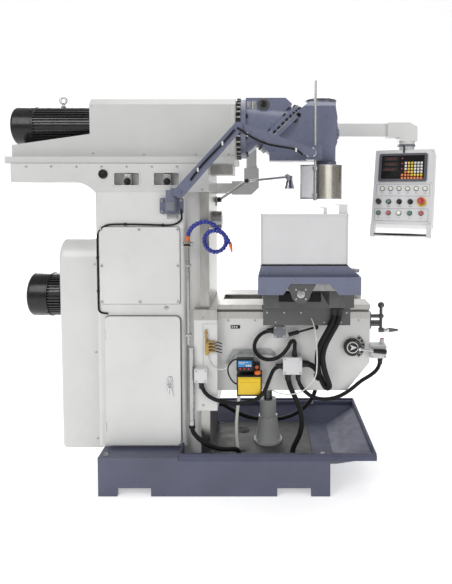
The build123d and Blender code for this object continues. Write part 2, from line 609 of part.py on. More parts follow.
def quill_sleeve():
    at = (SPINDLE_X, 0)
    sleeve = rod("z", at, SLEEVE_R, SLEEVE_FOOT, HEAD_FOOT - SEAT) + rod("z", at, SLEEVE_R + 12,
            HEAD_FOOT - 16, HEAD_FOOT - SEAT)
    return sleeve - rod("z", at, SPINDLE_R + RUN, SLEEVE_FOOT - 1, HEAD_FOOT + 1)


def vertical_spindle():
    at = (SPINDLE_X, 0)
    shaft = rod("z", at, SPINDLE_R, SLEEVE_FOOT - GAP, HEAD_TOP - 60) + rod("z", at, NOSE_R, NOSE_FOOT,
            SLEEVE_FOOT - GAP)
    shaft -= cone("z", at, TAPER_MOUTH_R, TAPER_MOUTH_R - 8, NOSE_FOOT, NOSE_FOOT + TAPER_DEPTH)
    shaft -= rod("z", at, DRAWBAR_R, NOSE_FOOT, HEAD_TOP)
    for side in (-1, 1):
        x = sorted((side * 26, side * (NOSE_R + 1)))
        shaft -= block((SPINDLE_X + x[0], SPINDLE_X + x[1]), (-8, 8), (NOSE_FOOT - 1, NOSE_FOOT + 9))
    return shaft


def guard_rod():
    at = (GUARD_ROD_X, GUARD_ROD_Y)
    return rod("z", at, GUARD_ROD_R, GUARD_FOOT + 2, GUARD_ROD_TOP - 2) + rod("z", at, GUARD_ROD_R + 4,
            GUARD_FOOT - 6, GUARD_FOOT + 2)


def spindle_guard():
    cx, cy = GUARD_CENTRE
    z0, z1 = GUARD_FOOT, GUARD_FOOT + GUARD_HEIGHT
    ring = rod("z", GUARD_CENTRE, GUARD_R, z0, z1) - rod("z", GUARD_CENTRE, GUARD_R - GUARD_THICK,
            z0 - 1, z1 + 1)
    far = GUARD_R * 2
    wedge = [(cx, cy)]
    for k in range(9):
        angle = math.radians(GUARD_START + (GUARD_END - GUARD_START) * k / 8)
        wedge.append((cx + far * math.cos(angle), cy + far * math.sin(angle)))
    sector = Pos(0, 0, z0) * extrude(make_face(Polyline(*wedge, close=True)), amount=GUARD_HEIGHT)
    shell = ring & sector
    posts = []
    for angle in (GUARD_START + 1, GUARD_END - 1):
        a = math.radians(angle)
        at = (cx + (GUARD_R - 2) * math.cos(a), cy + (GUARD_R - 2) * math.sin(a))
        posts.append(rod("z", at, 5, z0 - 2, z1 + 2))
    shell = shell + posts[0] + posts[1]
    at = (GUARD_ROD_X, GUARD_ROD_Y)
    for z in (z0 + 12, z1 - 30):
        near_y = cy - math.sqrt(GUARD_R ** 2 - (GUARD_ROD_X - cx) ** 2)
        lug = block((GUARD_ROD_X - 9, GUARD_ROD_X + 9), (GUARD_ROD_Y, near_y + 3), (z, z + 18))
        lug += rod("z", at, GUARD_ROD_R + 6, z, z + 18)
        shell += lug - rod("z", at, GUARD_ROD_R + RUN * 4, z - 1, z + 19)
    return shell


# ---------------------------------------------------------------- knee
def knee_casting():
    x0, x1, half = knee_body_x0, KNEE_FRONT, KNEE_HALF
    cx, cz = KNEE_CHAMFER
    side = [(x0, KNEE_FOOT), (x1 - cx, KNEE_FOOT), (x1, KNEE_FOOT + cz), (x1, KNEE_TOP), (x0, KNEE_TOP)]
    body = plate_xz(side, -half, half)
    w = CAST_WALL
    room = [(x0 + 30, KNEE_FOOT + w), (x1 - cx - 10, KNEE_FOOT + w), (x1 - w, KNEE_FOOT + cz + 8),
            (x1 - w, KNEE_TOP - 40), (x0 + 30, KNEE_TOP - 40)]
    body -= plate_xz(room, -half + w, half - w)
    body += block((knee_back, knee_back + BACK_PLATE), (-CHEEK_HALF, CHEEK_HALF), (CHEEK_FOOT, CHEEK_TOP))
    for side_sign in (-1, 1):
        outer = sorted((side_sign * column_half_gap, side_sign * CHEEK_HALF))
        hook = sorted((side_sign * (NECK_HALF + 2), side_sign * CHEEK_HALF))
        body += block((way_back - GAP - KEEPER, knee_back + 1), outer, (CHEEK_FOOT, CHEEK_TOP))
        body += block((way_back - GAP - KEEPER, way_back - GAP), hook, (CHEEK_FOOT, CHEEK_TOP))
        band = sorted((side_sign * half, side_sign * (half + BAND_PROUD)))
        body += block((x0, x1), band, (KNEE_TOP - BAND_HEIGHT, KNEE_TOP))
    top_x0 = knee_back + BACK_PLATE - 1
    body += block((top_x0, x1), (-WAY_NECK_HALF, WAY_NECK_HALF), (KNEE_TOP, way_z0))
    body += block((top_x0, x1), (-WAY_TOP_HALF, WAY_TOP_HALF), (way_z0, way_z1))
    body -= block((top_x0 + 20, x1 + 1), (-60, 60), (KNEE_TOP - 10, way_z1 + 1))
    return body - rod("z", (SCREW_X, 0), SCREW_R + 40, KNEE_FOOT - 1, KNEE_FOOT + w + 1)


def elevating_screw():
    at = (SCREW_X, 0)
    top = KNEE_TOP - 40
    foot = PEDESTAL_TOP - KNEE_UP - 14
    return rod("z", at, SCREW_R, foot, top - GAP) + rod("z", at, SCREW_R + 16, top - 60, top - 30)


def crank_flanges():
    x0 = KNEE_FRONT + SEAT
    first = rod("x", (0, CRANK_Z), 37, x0, x0 + 24) + rod("x", (0, CRANK_Z), 26, x0 + 24, x0 + 40)
    first -= rod("x", (0, CRANK_Z), 10 + RUN, x0 + 8, x0 + 41)
    second = rod("x", SECOND_SHAFT, 56, x0, x0 + 30) + cone("x", SECOND_SHAFT, 56, 30, x0 + 30, x0 + 64)
    second += rod("x", SECOND_SHAFT, 17, x0 + 64, x0 + 112)
    return [first, second]


def feed_crank():
    x0 = KNEE_FRONT + SEAT
    hub = (0, CRANK_Z)
    body = rod("x", hub, 10, x0 + 10, x0 + 100) + Pos(x0 + 96, 0, CRANK_Z) * Sphere(15)
    body += bar((x0 + 96, 0, CRANK_Z - CRANK_R), (x0 + 96, 0, CRANK_Z + CRANK_R - 14), 8)
    body += Pos(x0 + 96, 0, CRANK_Z + CRANK_R - 17) * Sphere(17)
    body += rod("x", (0, CRANK_Z - CRANK_R), 13, x0 + 84, x0 + 110)
    grip = cone("x", (0, CRANK_Z - CRANK_R), 7, 12, x0 + 110, x0 + 140)
    grip += cone("x", (0, CRANK_Z - CRANK_R), 12, 6, x0 + 140, x0 + 186)
    return body + grip


def feed_lever():
    y1 = -KNEE_HALF - SEAT
    at = (LEVER_X, LEVER_Z)
    body = rod("y", at, 34, y1 - 22, y1) + rod("y", at, 12, y1 - 40, y1 - 22)
    end = LEVER_X + LEVER_LENGTH
    y = y1 - 46
    body += rod("y", at, 12, y, y1 - 30)
    body += bar((LEVER_X, y, LEVER_Z), (end - 60, y, LEVER_Z - 8), 6)
    return body + bar((end - 66, y, LEVER_Z - 8), (end, y, LEVER_Z - 15), 11)


def lock_lever():
    y1 = -KNEE_HALF - BAND_PROUD - 1
    at = (LOCK_X, LOCK_Z - 2)
    body = rod("y", at, 11, y1 - 34, y1 + 3.5)
    body += bar((LOCK_X, y1 - 26, LOCK_Z - 2), (LOCK_X - 90, y1 - 26, LOCK_Z - 28), 5)
    return body + bar((LOCK_X - 84, y1 - 26, LOCK_Z - 26), (LOCK_X - 134, y1 - 26, LOCK_Z - 40), 10)


box_a = ((327, 420), (-KNEE_HALF - 48, -KNEE_HALF), (552, 636))
box_b = ((284, 337), (-KNEE_HALF - 34, -KNEE_HALF), (732, 786))
box_c = ((-98, -36), (-CHEEK_HALF - 42, -CHEEK_HALF), (525, 592))
box_d = ((KNEE_FRONT, KNEE_FRONT + 78), (-KNEE_HALF - 24, -KNEE_HALF + 40), (625, 688))


def knee_boxes():
    boxes = []
    for x, y, z in (box_a, box_b, box_c):
        solid = rounded(x, y, z, 5, Axis.Y)
        boxes.append(solid)
    x, y, z = box_d
    limit = rounded(x, y, z, 6, Axis.X)
    plunger = rod("z", (x[1] - 16, y[0] + 32), 12, z[1], z[1] + 26)
    boxes.append(limit + plunger)
    return boxes


def lubricator():
    y1 = -KNEE_HALF
    x0, x1, foot, shelf_z, top = LUBE_X0, LUBE_X1, LUBE_FOOT, LUBE_SHELF, LUBE_TOP
    motor_x = x1 - 42
    shelf = [(x0 - 60, shelf_z + 40), (x0 - 18, top + 20), (x1 + 38, top + 20), (x1 + 64, shelf_z + 62),
            (x1 + 64, shelf_z), (x0 - 60, shelf_z)]
    bracket = plate_xz(shelf, y1 - 5, y1)
    bracket -= block((x0 - 30, x1 + 30), (y1 - 6, y1 + 1), (shelf_z - 1, top - 30))
    head = rounded((x0, motor_x), (y1 - 100, y1 - 5 - SEAT), (shelf_z, top), 4, Axis.Z)
    head += block((motor_x - 1, x1 - 10), (y1 - 60, y1 - 5 - SEAT), (shelf_z, top - 34))
    jar = rounded((x0 + 4, x1 - 4), (y1 - 96, y1 - 14), (foot, shelf_z - SEAT), 12, Axis.Z)
    cap = rod("z", (motor_x + 21, y1 - 80), 14, shelf_z - SEAT, shelf_z + 26)
    return [bracket, head, jar, cap]


# ---------------------------------------------------------------- saddle and table
def saddle_casting():
    z0 = way_z1 - SADDLE_SKIRT
    body = block((SADDLE_X0, saddle_x1), (-SADDLE_HALF, SADDLE_HALF), (z0, saddle_z1))
    groove = WAY_TOP_HALF + 2
    body -= block((SADDLE_X0 - 1, saddle_x1 + 1), (-groove, groove), (z0 - 1, saddle_z0))
    for side in (-1, 1):
        keeper = sorted((side * (WAY_NECK_HALF + 3), side * (groove + 1)))
        body += block((SADDLE_X0 + 6, saddle_x1 - 6), keeper, (KNEE_TOP + 1, way_z0 - GAP))
    return body


def table_saddle():
    x0, x1 = SADDLE_X0, SADDLE_X0 + UPPER_SADDLE_LENGTH
    body = block((x0, x1), (-UPPER_SADDLE_HALF, UPPER_SADDLE_HALF), (saddle_z1, upper_z1))
    slot_x1 = SLOT_X0 + SLOT_LENGTH
    body -= block((SLOT_X0, slot_x1), (-UPPER_SADDLE_HALF - 1, UPPER_SADDLE_HALF + 1),
            (upper_z1 - SLOT_DEPTH, upper_z1 + 1))
    nut = block((LEADSCREW_X - 34, LEADSCREW_X + 34), (-60, 60), (upper_z1 - SLOT_DEPTH, slab_z0 - 2))
    nut += rod("y", (LEADSCREW_X, LEADSCREW_Z), LEADSCREW_R + 4, -60, 60)
    return body + nut - rod("y", (LEADSCREW_X, LEADSCREW_Z), LEADSCREW_R + RUN, -61, 61)


def work_table():
    body = block((table_x0, table_x1), (-table_half, table_half), (slab_z0, table_top))
    for x0, x1 in ((table_x0 + 16, SLOT_X0 - 1), (SLOT_X0 + SLOT_LENGTH + 1, table_x1 - 16)):
        body += block((x0, x1), (-table_half + 8, table_half - 8), (rail_z0, slab_z0))
    reach = table_half + 1
    for k in range(TEE_SLOTS):
        x = TABLE_X + (k - (TEE_SLOTS - 1) / 2) * TEE_PITCH
        body -= block((x - TEE_WIDTH / 2, x + TEE_WIDTH / 2), (-reach, reach),
                (table_top - TEE_DEPTH, table_top + 1))
        foot = table_top - TEE_DEPTH
        body -= block((x - TEE_WIDE / 2, x + TEE_WIDE / 2), (-reach, reach), (foot - TEE_FOOT, foot))
    screw_room = LEADSCREW_R + 5
    groove_x = (LEADSCREW_X - screw_room, LEADSCREW_X + screw_room)
    return body - block(groove_x, (-reach, reach), (slab_z0 - 1, LEADSCREW_Z + screw_room))


tray_z0, tray_z1 = slab_z0 - 10, table_top + 2
tray_wall_top = table_top + 45
tray_x0, tray_x1 = table_x0 - 6, table_x1 + 44
arch_z = LEADSCREW_Z + 42


def end_tray():
    """The near drip tray, bolted to the table's end; the far one is its mirror image."""
    lip_top, wall_top = tray_z1, tray_wall_top
    arch = [(tray_x1 - 87, tray_z0), (tray_x1 - 125, arch_z), (table_x0 + 123, arch_z),
            (table_x0 + 94, tray_z0)]
    back = [(tray_x0, tray_z0), (tray_x0, lip_top), (table_x0 + 6, wall_top), (table_x1 - 6, wall_top),
            (tray_x1, lip_top), (tray_x1, tray_z0)] + arch
    lip = [(tray_x0, tray_z0), (tray_x0, lip_top), (tray_x1, lip_top), (tray_x1, tray_z0)] + arch
    s, y1 = END_TRAY_SHEET, -table_half - SEAT
    y0 = y1 - END_TRAY_DEPTH
    body = plate_xz(back, y1 - s, y1) + plate_xz(lip, y0, y0 + s)
    body += block((tray_x0, tray_x1), (y0, y1), (arch_z, arch_z + s))
    for x in (tray_x0, tray_x1 - s):
        body += block((x, x + s), (y0, y1), (tray_z0, lip_top))
    return body


def splash_plate():
    y1 = -table_half - SEAT
    z0 = tray_wall_top + SEAT
    x0 = TABLE_X - SPLASH_LENGTH / 2
    x1 = x0 + SPLASH_LENGTH
    z1 = z0 + SPLASH_HEIGHT
    body = block((x0, x1), (y1 - 5, y1 - 3), (z0, z1)) + block((x0, x1), (y1 - 5, y1 + 6), (z0, z0 + 2))
    body += block((x1 - 2, x1), (y1 - 5, y1 + 9), (z0, z1)) + block((x0, x0 + 2), (y1 - 5, y1 + 9),
            (z0, z1))
    hooks = []
    for left, right, rise in ((x1 - 106, x1 - 84, 26), (x1 - 44, x1 - 2, 38)):
        stem = block((left + 8, right), (y1 - 3, y1 - 1), (z1 - 40, z1 + rise))
        hooks.append(stem + block((left - 6, right), (y1 - 3, y1 + 20), (z1 + rise - 3, z1 + rise)))
    return [body, *hooks]


def screw_bracket():
    y1 = -table_half - SEAT - END_TRAY_SHEET - SEAT
    y0 = y1 - 24
    at = (LEADSCREW_X, LEADSCREW_Z)
    top = arch_z - SEAT
    body = plate_xz([(LEADSCREW_X - 62, top), (LEADSCREW_X + 62, top),
            (LEADSCREW_X + 30, LEADSCREW_Z - 18), (LEADSCREW_X - 30, LEADSCREW_Z - 18)], y0, y1)
    body += rod("y", at, 38, y0, y1)
    return body - rod("y", at, LEADSCREW_R + RUN, y0 - 2, y1 + 1)


def leadscrew():
    at = (LEADSCREW_X, LEADSCREW_Z)
    near = -table_half - END_TRAY_SHEET - 22
    far = table_half + 120
    body = rod("y", at, LEADSCREW_R, near, far)
    wheel_y = table_half + 76
    rim = rod("y", at, HANDWHEEL_R, wheel_y - 9, wheel_y + 9)
    rim = fillet(rim.edges().filter_by(GeomType.CIRCLE), 7)
    rim -= rod("y", at, HANDWHEEL_R - 18, wheel_y - 10, wheel_y + 10)
    body += rod("y", at, 26, wheel_y - 16, wheel_y + 16)
    body += rim
    for angle in (90, 210, 330):
        a = math.radians(angle)
        reach = HANDWHEEL_R - 12
        tip = (LEADSCREW_X + reach * math.cos(a), wheel_y, LEADSCREW_Z + reach * math.sin(a))
        body += bar((LEADSCREW_X, wheel_y, LEADSCREW_Z), tip, 6)
    handle_z = LEADSCREW_Z + HANDWHEEL_R - 10
    return body + rod("y", (LEADSCREW_X, handle_z), 8, wheel_y + 2, wheel_y + 80)


# ---------------------------------------------------------------- arms and lamp
def cable_arm_bracket():
    x, z = ARM_SHOULDER
    plate = rounded((x - 106, x + 7), (side_plate_y - 14, side_plate_y - SEAT), (z - 105, z - 29), 10,
            Axis.Y)
    arm = block((x - 70, x - 24), (ARM_Y + 30, side_plate_y - 14), (z - 92, z - 44))
    post = rod("z", (x - 47, ARM_Y + 29), 26, z - 92, z + 9)
    ear = block((x - 47, x), (ARM_Y + 4, ARM_Y + 24), (z - 18, z + 18)) + rod("y", (x, z), 18, ARM_Y + 4,
            ARM_Y + 24)
    pin = rod("y", (x, z), 8, ARM_Y - ARM_THICK - 6, ARM_Y + 6)
    return plate + arm + post + ear + pin


def cable_link_lower():
    y0, y1 = ARM_Y - ARM_THICK, ARM_Y
    body = link_xz(ARM_SHOULDER, ARM_ELBOW, 26, 22, y0, y1)
    middle = ((ARM_SHOULDER[0] + ARM_ELBOW[0]) / 2, (ARM_SHOULDER[1] + ARM_ELBOW[1]) / 2)
    body += link_xz(ARM_SHOULDER, middle, 14, 24, y0, y1)
    body -= rod("y", ARM_SHOULDER, 8 + RUN * 2, y0 - 1, y1 + 1)
    return body + rod("y", ARM_ELBOW, 8, y1, y1 + ARM_THICK + 8)


def cable_link_upper():
    y0 = ARM_Y + GAP
    y1 = y0 + ARM_THICK
    body = link_xz(ARM_ELBOW, ARM_WRIST, 24, 18, y0, y1)
    body -= rod("y", ARM_ELBOW, 8 + RUN * 2, y0 - 1, y1 + 1)
    return body + rod("y", ARM_WRIST, 21, y1 - 1, GUARD_ROD_Y - BLOCK_HALF - SWING_ROOM)


def lamp_arm_lower():
    a, b = LAMP_SHOULDER, LAMP_ELBOW
    y = LAMP_Y
    body = bar((a[0], y, a[1]), (b[0], y, b[1]), LAMP_ROD_R)
    body += rod("y", a, 13, y - 12, y + 12) + rod("y", b, 16, y - 8, y + 8)
    return body - rod("y", b, 6 + RUN * 2, y - 9, y + 9)


def lamp_arm_upper():
    a, b = LAMP_ELBOW, LAMP_WRIST
    y = LAMP_Y
    body = rod("y", a, 15, y + 8 + GAP, y + 20) + rod("y", a, 6, y - 16, y + 9) + rod("y", a, 14, y - 20,
            y - 8 - GAP)
    body += bar((a[0], y + 16, a[1]), (b[0], y + 16, b[1]), LAMP_ROD_R) + rod("y", b, 15, y + 2, y + 28)
    shade = cone("z", (b[0] + 12, y), 30, 18, b[1] - 66, b[1] - 20) + rod("z", (b[0] + 12, y), 18,
            b[1] - 20, b[1] + 6)
    return body + shade - rod("z", (b[0] + 12, y), 15, b[1] - 67, b[1] - 30)


def lamp_socket():
    """The lamp's foot, screwed to the front of the column head."""
    x, z = LAMP_SHOULDER
    foot = block((COLUMN_FRONT + SEAT, x - 13 - GAP), (LAMP_Y - 16, LAMP_Y + 16), (z - 34, z + 16))
    ears = None
    for side in (-1, 1):
        face = sorted((side * 12.5, side * 20))
        ear = block((COLUMN_FRONT + SEAT, x + 10), (LAMP_Y + face[0], LAMP_Y + face[1]), (z - 14, z + 14))
        ears = ear if ears is None else ears + ear
    return foot + ears


# ---------------------------------------------------------------- pendant
def pendant_bracket():
    y, t = PENDANT_Y, PENDANT_TUBE / 2
    z = PENDANT_LOW
    plate = block((-190, -78), (column_half + SEAT, column_half + 16), (z - 58, z - 58 + 82))
    arm = block((-178, -98), (column_half + 16, y + t), (z - t, z - 58 + 82))
    tube = block((-98, 60), (y - t, y + t), (z - t, z + t - 12))
    tube += block((-178, -98), (column_half + 16, y + t), (z - t, z + t - 12))
    x = PENDANT_PIVOT_X
    elbow = [(50, z - t - 6), (x, z - t - 6), (x + 42, z - t + 34), (x + 42, z + PENDANT_NECK),
            (x - 42, z + PENDANT_NECK), (x - 42, z + t), (50, z + t)]
    return plate + arm + tube + plate_xz(elbow, y - t - 4, y + t + 4)


def pendant_arm():
    y, t, x = PENDANT_Y, PENDANT_TUBE / 2, PENDANT_PIVOT_X
    foot = PENDANT_LOW + PENDANT_NECK + GAP
    z1, z0 = PENDANT_TOP, PENDANT_TOP - PENDANT_TUBE
    body = rod("z", (x, y), t - 2, foot, foot + 14)
    body += block((x - 29, x + 29), (y - 29, y + 29), (foot + 12, z0 + 4))
    corner = [(x - 42, z0 - 60), (x + 42, z0 - 60), (x + 42, z0 - 4), (x + 76, z0 - 4), (x + 76, z1 + 6),
            (x - 10, z1 + 6), (x - 42, z1 - 26)]
    body += plate_xz(corner, y - t - 4, y + t + 4)
    body += block((x + 70, PANEL_X - 110), (y - 28, y + 28), (z0, z1))
    knee = [(PANEL_X - 118, z0 - 8), (PANEL_X - 118, z1 + 4), (PANEL_X + 8, z1 + 4),
            (PANEL_X + 52, z1 - 20), (PANEL_X + 52, z0 - 30), (PANEL_X - 50, z0 - 30),
            (PANEL_X - 50, z0 - 8)]
    body += plate_xz(knee, y - 46, y + 46)
    return body + rod("z", (PANEL_X, y), 48, z0 - 46, z0 - 30)


panel_frame = Pos(PANEL_X, PENDANT_Y, PANEL_TOP) * Rot(0, 0, PANEL_TURN) * Rot(PANEL_TILT, 0, 0)
panel_front = -PANEL_SIZE[1] / 2


def panel_block(x, y, z, radius=0, axis=Axis.Y):
    """A block in the panel's own frame: x to the right, y away from the operator, z up from its top edge."""
    local = rounded(x, y, z, radius, axis) if radius else block(x, y, z)
    return panel_frame * local


def panel_point(share_x, share_z):
    """A place on the panel's face from its shares of the width and the height."""
    width, _, height = PANEL_SIZE
    return ((share_x - 0.5) * width, -share_z * height)


def control_panel():
    w, d, h = PANEL_SIZE
    shell = panel_block((-w / 2, w / 2), (-d / 2, d / 2), (-h, 0), 6, Axis.Y)
    shell -= panel_block((-w / 2 + 3, w / 2 - 3), (-d / 2 + 3, d / 2 - 3), (-h + 3, -3))
    shell += panel_block((-0.43 * w, 0.40 * w), (-d / 2 - 6, -d / 2), (-0.44 * h, -0.05 * h), 12)
    for side in (-1, 1):
        x = sorted((side * (w / 2), side * (w / 2 - 22)))
        shell += panel_block(x, (-d / 2 - 16, -d / 2 + 30), (-h - 70, -h + 1), 4, Axis.X)
    shell += panel_block((-w / 2 + 10, w / 2 - 10), (-d / 2 - 14, -d / 2 + 8), (-h - 68, -h - 50), 5,
            Axis.X)
    neck_top = PENDANT_TOP - PENDANT_TUBE - 46 - GAP
    neck = rod("z", (PANEL_X, PENDANT_Y), 46, PANEL_TOP - 12, neck_top)
    shell += neck
    for place in control_places.values():
        x, z = panel_point(*place[:2])
        shell -= panel_frame * rod("y", (x, z), STEM_R + RUN * 4, panel_front - 1, panel_front + 4)
    return shell


STEM_R = 6
control_places = {
    "speed_knob": (0.106, 0.70, "knob"),
    "coolant_button": (0.278, 0.70, "button"),
    "mode_selector": (0.457, 0.70, "selector"),
    "axis_selector": (0.642, 0.70, "selector"),
    "emergency_stop": (0.826, 0.70, "stop"),
    "feed_start_button": (0.114, 0.85, "button"),
    "feed_stop_button": (0.286, 0.85, "button"),
    "rapid_button": (0.461, 0.85, "button"),
    "spindle_start_button": (0.641, 0.85, "button"),
    "spindle_stop_button": (0.827, 0.85, "button"),
}


def control(place):
    """A push button, knob, selector or emergency stop, on a stem that passes through the panel's face."""
    share_x, share_z, kind = place
    at = panel_point(share_x, share_z)
    front = panel_front
    stem = rod("y", at, STEM_R, front - 6, front + 16)
    if kind == "stop":
        head = rod("y", at, STOP_R, front - 30, front - 16) + rod("y", at, 12, front - 18, front - 6)
    elif kind == "knob":
        head = rod("y", at, 13, front - 22, front - 1) + block((at[0] - 2, at[0] + 2),
                (front - 26, front - 20), (at[1], at[1] + 12))
    elif kind == "selector":
        head = rod("y", at, 12, front - 10, front - 1)
        head += block((at[0] - 4, at[0] + 4), (front - 22, front - 9), (at[1] - 11, at[1] + 11))
    else:
        head = rod("y", at, BUTTON_R, front - BUTTON_STAND, front - BUTTON_TRAVEL - 1)
    return panel_frame * (stem + head)


# ---------------------------------------------------------------- pipes, hose and conduits
def coolant_pipe():
    x, y = -128, side_plate_y - 22
    pipe = rod("z", (x, y), 7, 700, 1176) + rod("z", (x, y), 15, 1176, 1200) + rod("x", (y, 1188), 9,
            x - 26, x + 26)
    riser = rod("z", (x + 14, y - 6), 12, 330, 690)
    riser += rod("z", (x + 14, y - 6), 15, 308, 330)
    return [pipe, riser]


hose_start = (-128, side_plate_y - 22, 1200)
hose_route = [
    hose_start, (-128, -252, 1226), (-118, -256, 1258), (-88, -260, 1284), (-48, -262, 1297),
    (-8, -262, 1287), (18, -262, 1262), (50, -260, 1230), (57, -256, 1192), (38, -252, 1160),
    (2, -249, 1146), (-34, -249, 1162), (-52, -252, 1198), (-42, -262, 1234), (-10, -272, 1256),
    (28, -276, 1250), (58, -276, 1226), (72, -276, 1192), (78, -276, 1160),
]
drain_route = [
    (-114, -258, 308), (-114, -258, 282), (-100, -262, 258), (-72, -267, 234), (-40, -266, 212),
    (-8, -252, 190), (26, -230, 172), (62, -204, 158), (94, -174, 146), (108, -156, 128),
    (108, -156, tray_floor_z),
]

knee_routes = [
    [
        (284, -218, 760), (256, -218, 760), (218, -228, 746), (192, -232, 712), (186, -234, 676),
        (204, -236, 644), (240, -238, 622), (284, -240, 624), (324, -240, 646), (352, -238, 682),
        (368, -236, 716), (386, -234, 712), (384, -228, 676), (384, -228, 636),
    ],
    [
        (806, -204, 625), (806, -204, 596), (792, -208, 562), (756, -212, 534), (712, -214, 510),
        (668, -218, 472), (620, -220, 440), (568, -222, 422), (514, -224, 420), (464, -226, 436),
        (424, -226, 470), (402, -226, 512), (402, -226, 552),
    ],
    [
        (-66, -266, 525), (-66, -266, 500), (-48, -266, 466), (-18, -268, 442), (26, -270, 428),
        (76, -276, 421), (124, -288, 424), (170, -300, 436), (208, -310, 458), (242, -302, 492),
        (262, -264, 540), (290, -230, 588), (327, -230, 588),
    ],
]
tray_routes = [
    [
        (352, -226, 552), (352, -226, 520), (368, -226, 470), (394, -224, 418), (416, -218, 360),
        (424, -210, 300), (416, -202, 244), (398, -194, 196), (378, -188, 156), (378, -188, sump_top),
    ],
    [
        (505, -60, 457), (505, -60, 416), (490, -50, 362), (452, -36, 308), (400, -10, 258),
        (342, 30, 218), (280, 66, 196), (216, 84, 190), (152, 84, 200), (92, 76, 228), (44, 62, 262),
        (10, 56, 288), (-30, 56, 288),
    ],
]
saddle_routes = [
    [
        (590, -316, saddle_z1), (590, -316, 862), (580, -318, 824), (552, -316, 772),
        (524, -306, 716), (512, -294, 656), (520, -282, 600), (534, -276, 552), (548, -270, 516),
        (552, -262, 492), (534, -254, 488), (520, -250, 512), (506, -246, 548), (486, -238, 580),
        (456, -230, 600), (420, -230, 600),
    ],
    [
        (566, -316, saddle_z1), (566, -316, 862), (556, -318, 824), (528, -316, 772),
        (500, -306, 716), (488, -294, 656), (492, -280, 600), (500, -262, 556), (500, -232, 530),
        (500, -200, 530),
    ],
]


# ---------------------------------------------------------------- writing every node
write("base_casting", base_casting())
write("coolant_tray", coolant_tray())
write("sump_cover", sump_cover())
write("screw_pedestal", screw_pedestal())
write("column_casting", column_casting())
write("top_housing", top_housing())
write("electrical_cover", electrical_cover())
write("cabinet_door", cabinet_door())
write("belt_cover", belt_cover())
write("spindle_motor", spindle_motor())
write("motor_pulley", motor_pulley())
write("input_shaft", input_shaft())
write("horizontal_spindle", horizontal_spindle())
write("drive_belts", *drive_belts())
write("ram_casting", ram_casting())
write("ram_cover", ram_cover())
write("ram_motor", *ram_motor())
write("head_knuckle", head_knuckle())
write("head_body", head_body(), quill_sleeve())
write("vertical_spindle", vertical_spindle())
write("guard_rod", guard_rod())
write("spindle_guard", spindle_guard())
write("knee_casting", knee_casting())
write("elevating_screw", elevating_screw())
write("crank_flanges", *crank_flanges())
write("feed_crank", feed_crank())
write("feed_lever", feed_lever())
write("lock_lever", lock_lever())
write("knee_boxes", *knee_boxes())
write("lubricator", *lubricator())
write("saddle_casting", saddle_casting())
write("table_saddle", table_saddle())
write("work_table", work_table())
near_tray, near_bracket = end_tray(), screw_bracket()
write("end_trays", near_tray, mirror(near_tray, about=Plane.XZ))
write("screw_brackets", near_bracket, mirror(near_bracket, about=Plane.XZ) - rod("y",
        (LEADSCREW_X, LEADSCREW_Z), LEADSCREW_R + RUN, 0, table_half + 200))
write("splash_plate", *splash_plate())
write("leadscrew", leadscrew())
write("cable_arm_bracket", cable_arm_bracket())
write("cable_link_lower", cable_link_lower())
write("cable_link_upper", cable_link_upper())
write("lamp_arm_lower", lamp_arm_lower())
write("lamp_arm_upper", lamp_arm_upper())
write("pendant_bracket", pendant_bracket())
write("pendant_arm", pendant_arm())
write("control_panel", control_panel())
for control_name, control_place in control_places.items():
    write(control_name, control(control_place))
write("column_fittings", *coolant_pipe(), lamp_socket())
write("coolant_hoses", tube_path(hose_route, 8), tube_path(drain_route, 12))
write("knee_conduits", *[tube_path(route, CONDUIT_R) for route in knee_routes])
write("tray_conduits", *[tube_path(route, CONDUIT_R) for route in tray_routes])
write("saddle_conduits", *[tube_path(route, CONDUIT_R + 2) for route in saddle_routes])
print("nodes", len(os.listdir("parts")))
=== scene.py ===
# %% [markdown]
# # A universal knee milling machine, dressed in Blender
# The castings, shafts and joints come in as a fixed frame. This lesson adds what the frame leaves out:
# paint, ground metal, fins, hoses, gauges and screws. Every new piece is a surface worked out with
# numpy, in millimetres in the machine's own frame and scaled to metres at the end, so it goes exactly
# where the frame says and needs no fitting.

# %% Loading the frame
import math

import bmesh
import bpy
import numpy as np
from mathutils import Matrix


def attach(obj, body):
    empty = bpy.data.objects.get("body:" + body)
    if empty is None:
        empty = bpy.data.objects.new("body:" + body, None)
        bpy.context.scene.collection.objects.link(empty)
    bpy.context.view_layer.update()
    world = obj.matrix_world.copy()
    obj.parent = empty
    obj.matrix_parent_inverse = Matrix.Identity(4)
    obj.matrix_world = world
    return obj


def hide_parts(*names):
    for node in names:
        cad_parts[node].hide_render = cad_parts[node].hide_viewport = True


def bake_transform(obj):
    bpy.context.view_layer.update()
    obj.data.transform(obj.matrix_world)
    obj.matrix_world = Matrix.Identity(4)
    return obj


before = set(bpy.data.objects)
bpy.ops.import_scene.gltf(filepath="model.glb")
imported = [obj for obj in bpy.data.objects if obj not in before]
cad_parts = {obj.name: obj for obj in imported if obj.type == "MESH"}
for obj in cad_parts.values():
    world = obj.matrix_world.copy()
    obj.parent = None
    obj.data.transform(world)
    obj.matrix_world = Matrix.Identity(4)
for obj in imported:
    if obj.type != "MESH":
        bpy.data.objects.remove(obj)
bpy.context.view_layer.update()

MM = 0.001
LEFT, UP, FORWARD = (0, -1, 0), (0, 0, 1), (1, 0, 0)  # the machine's own directions

# %% [markdown]
# ## Camera, lights and floor
# The machine is seen square on from its left side, at chest height and from about two and a half metres
# in front of the door, with the lens tipped down a little. A tall format needs the lens given on its
# long side. The frame sits off the optical axis, so the camera is shifted a little rather than turned,
# because a turn would make the column's edges converge.

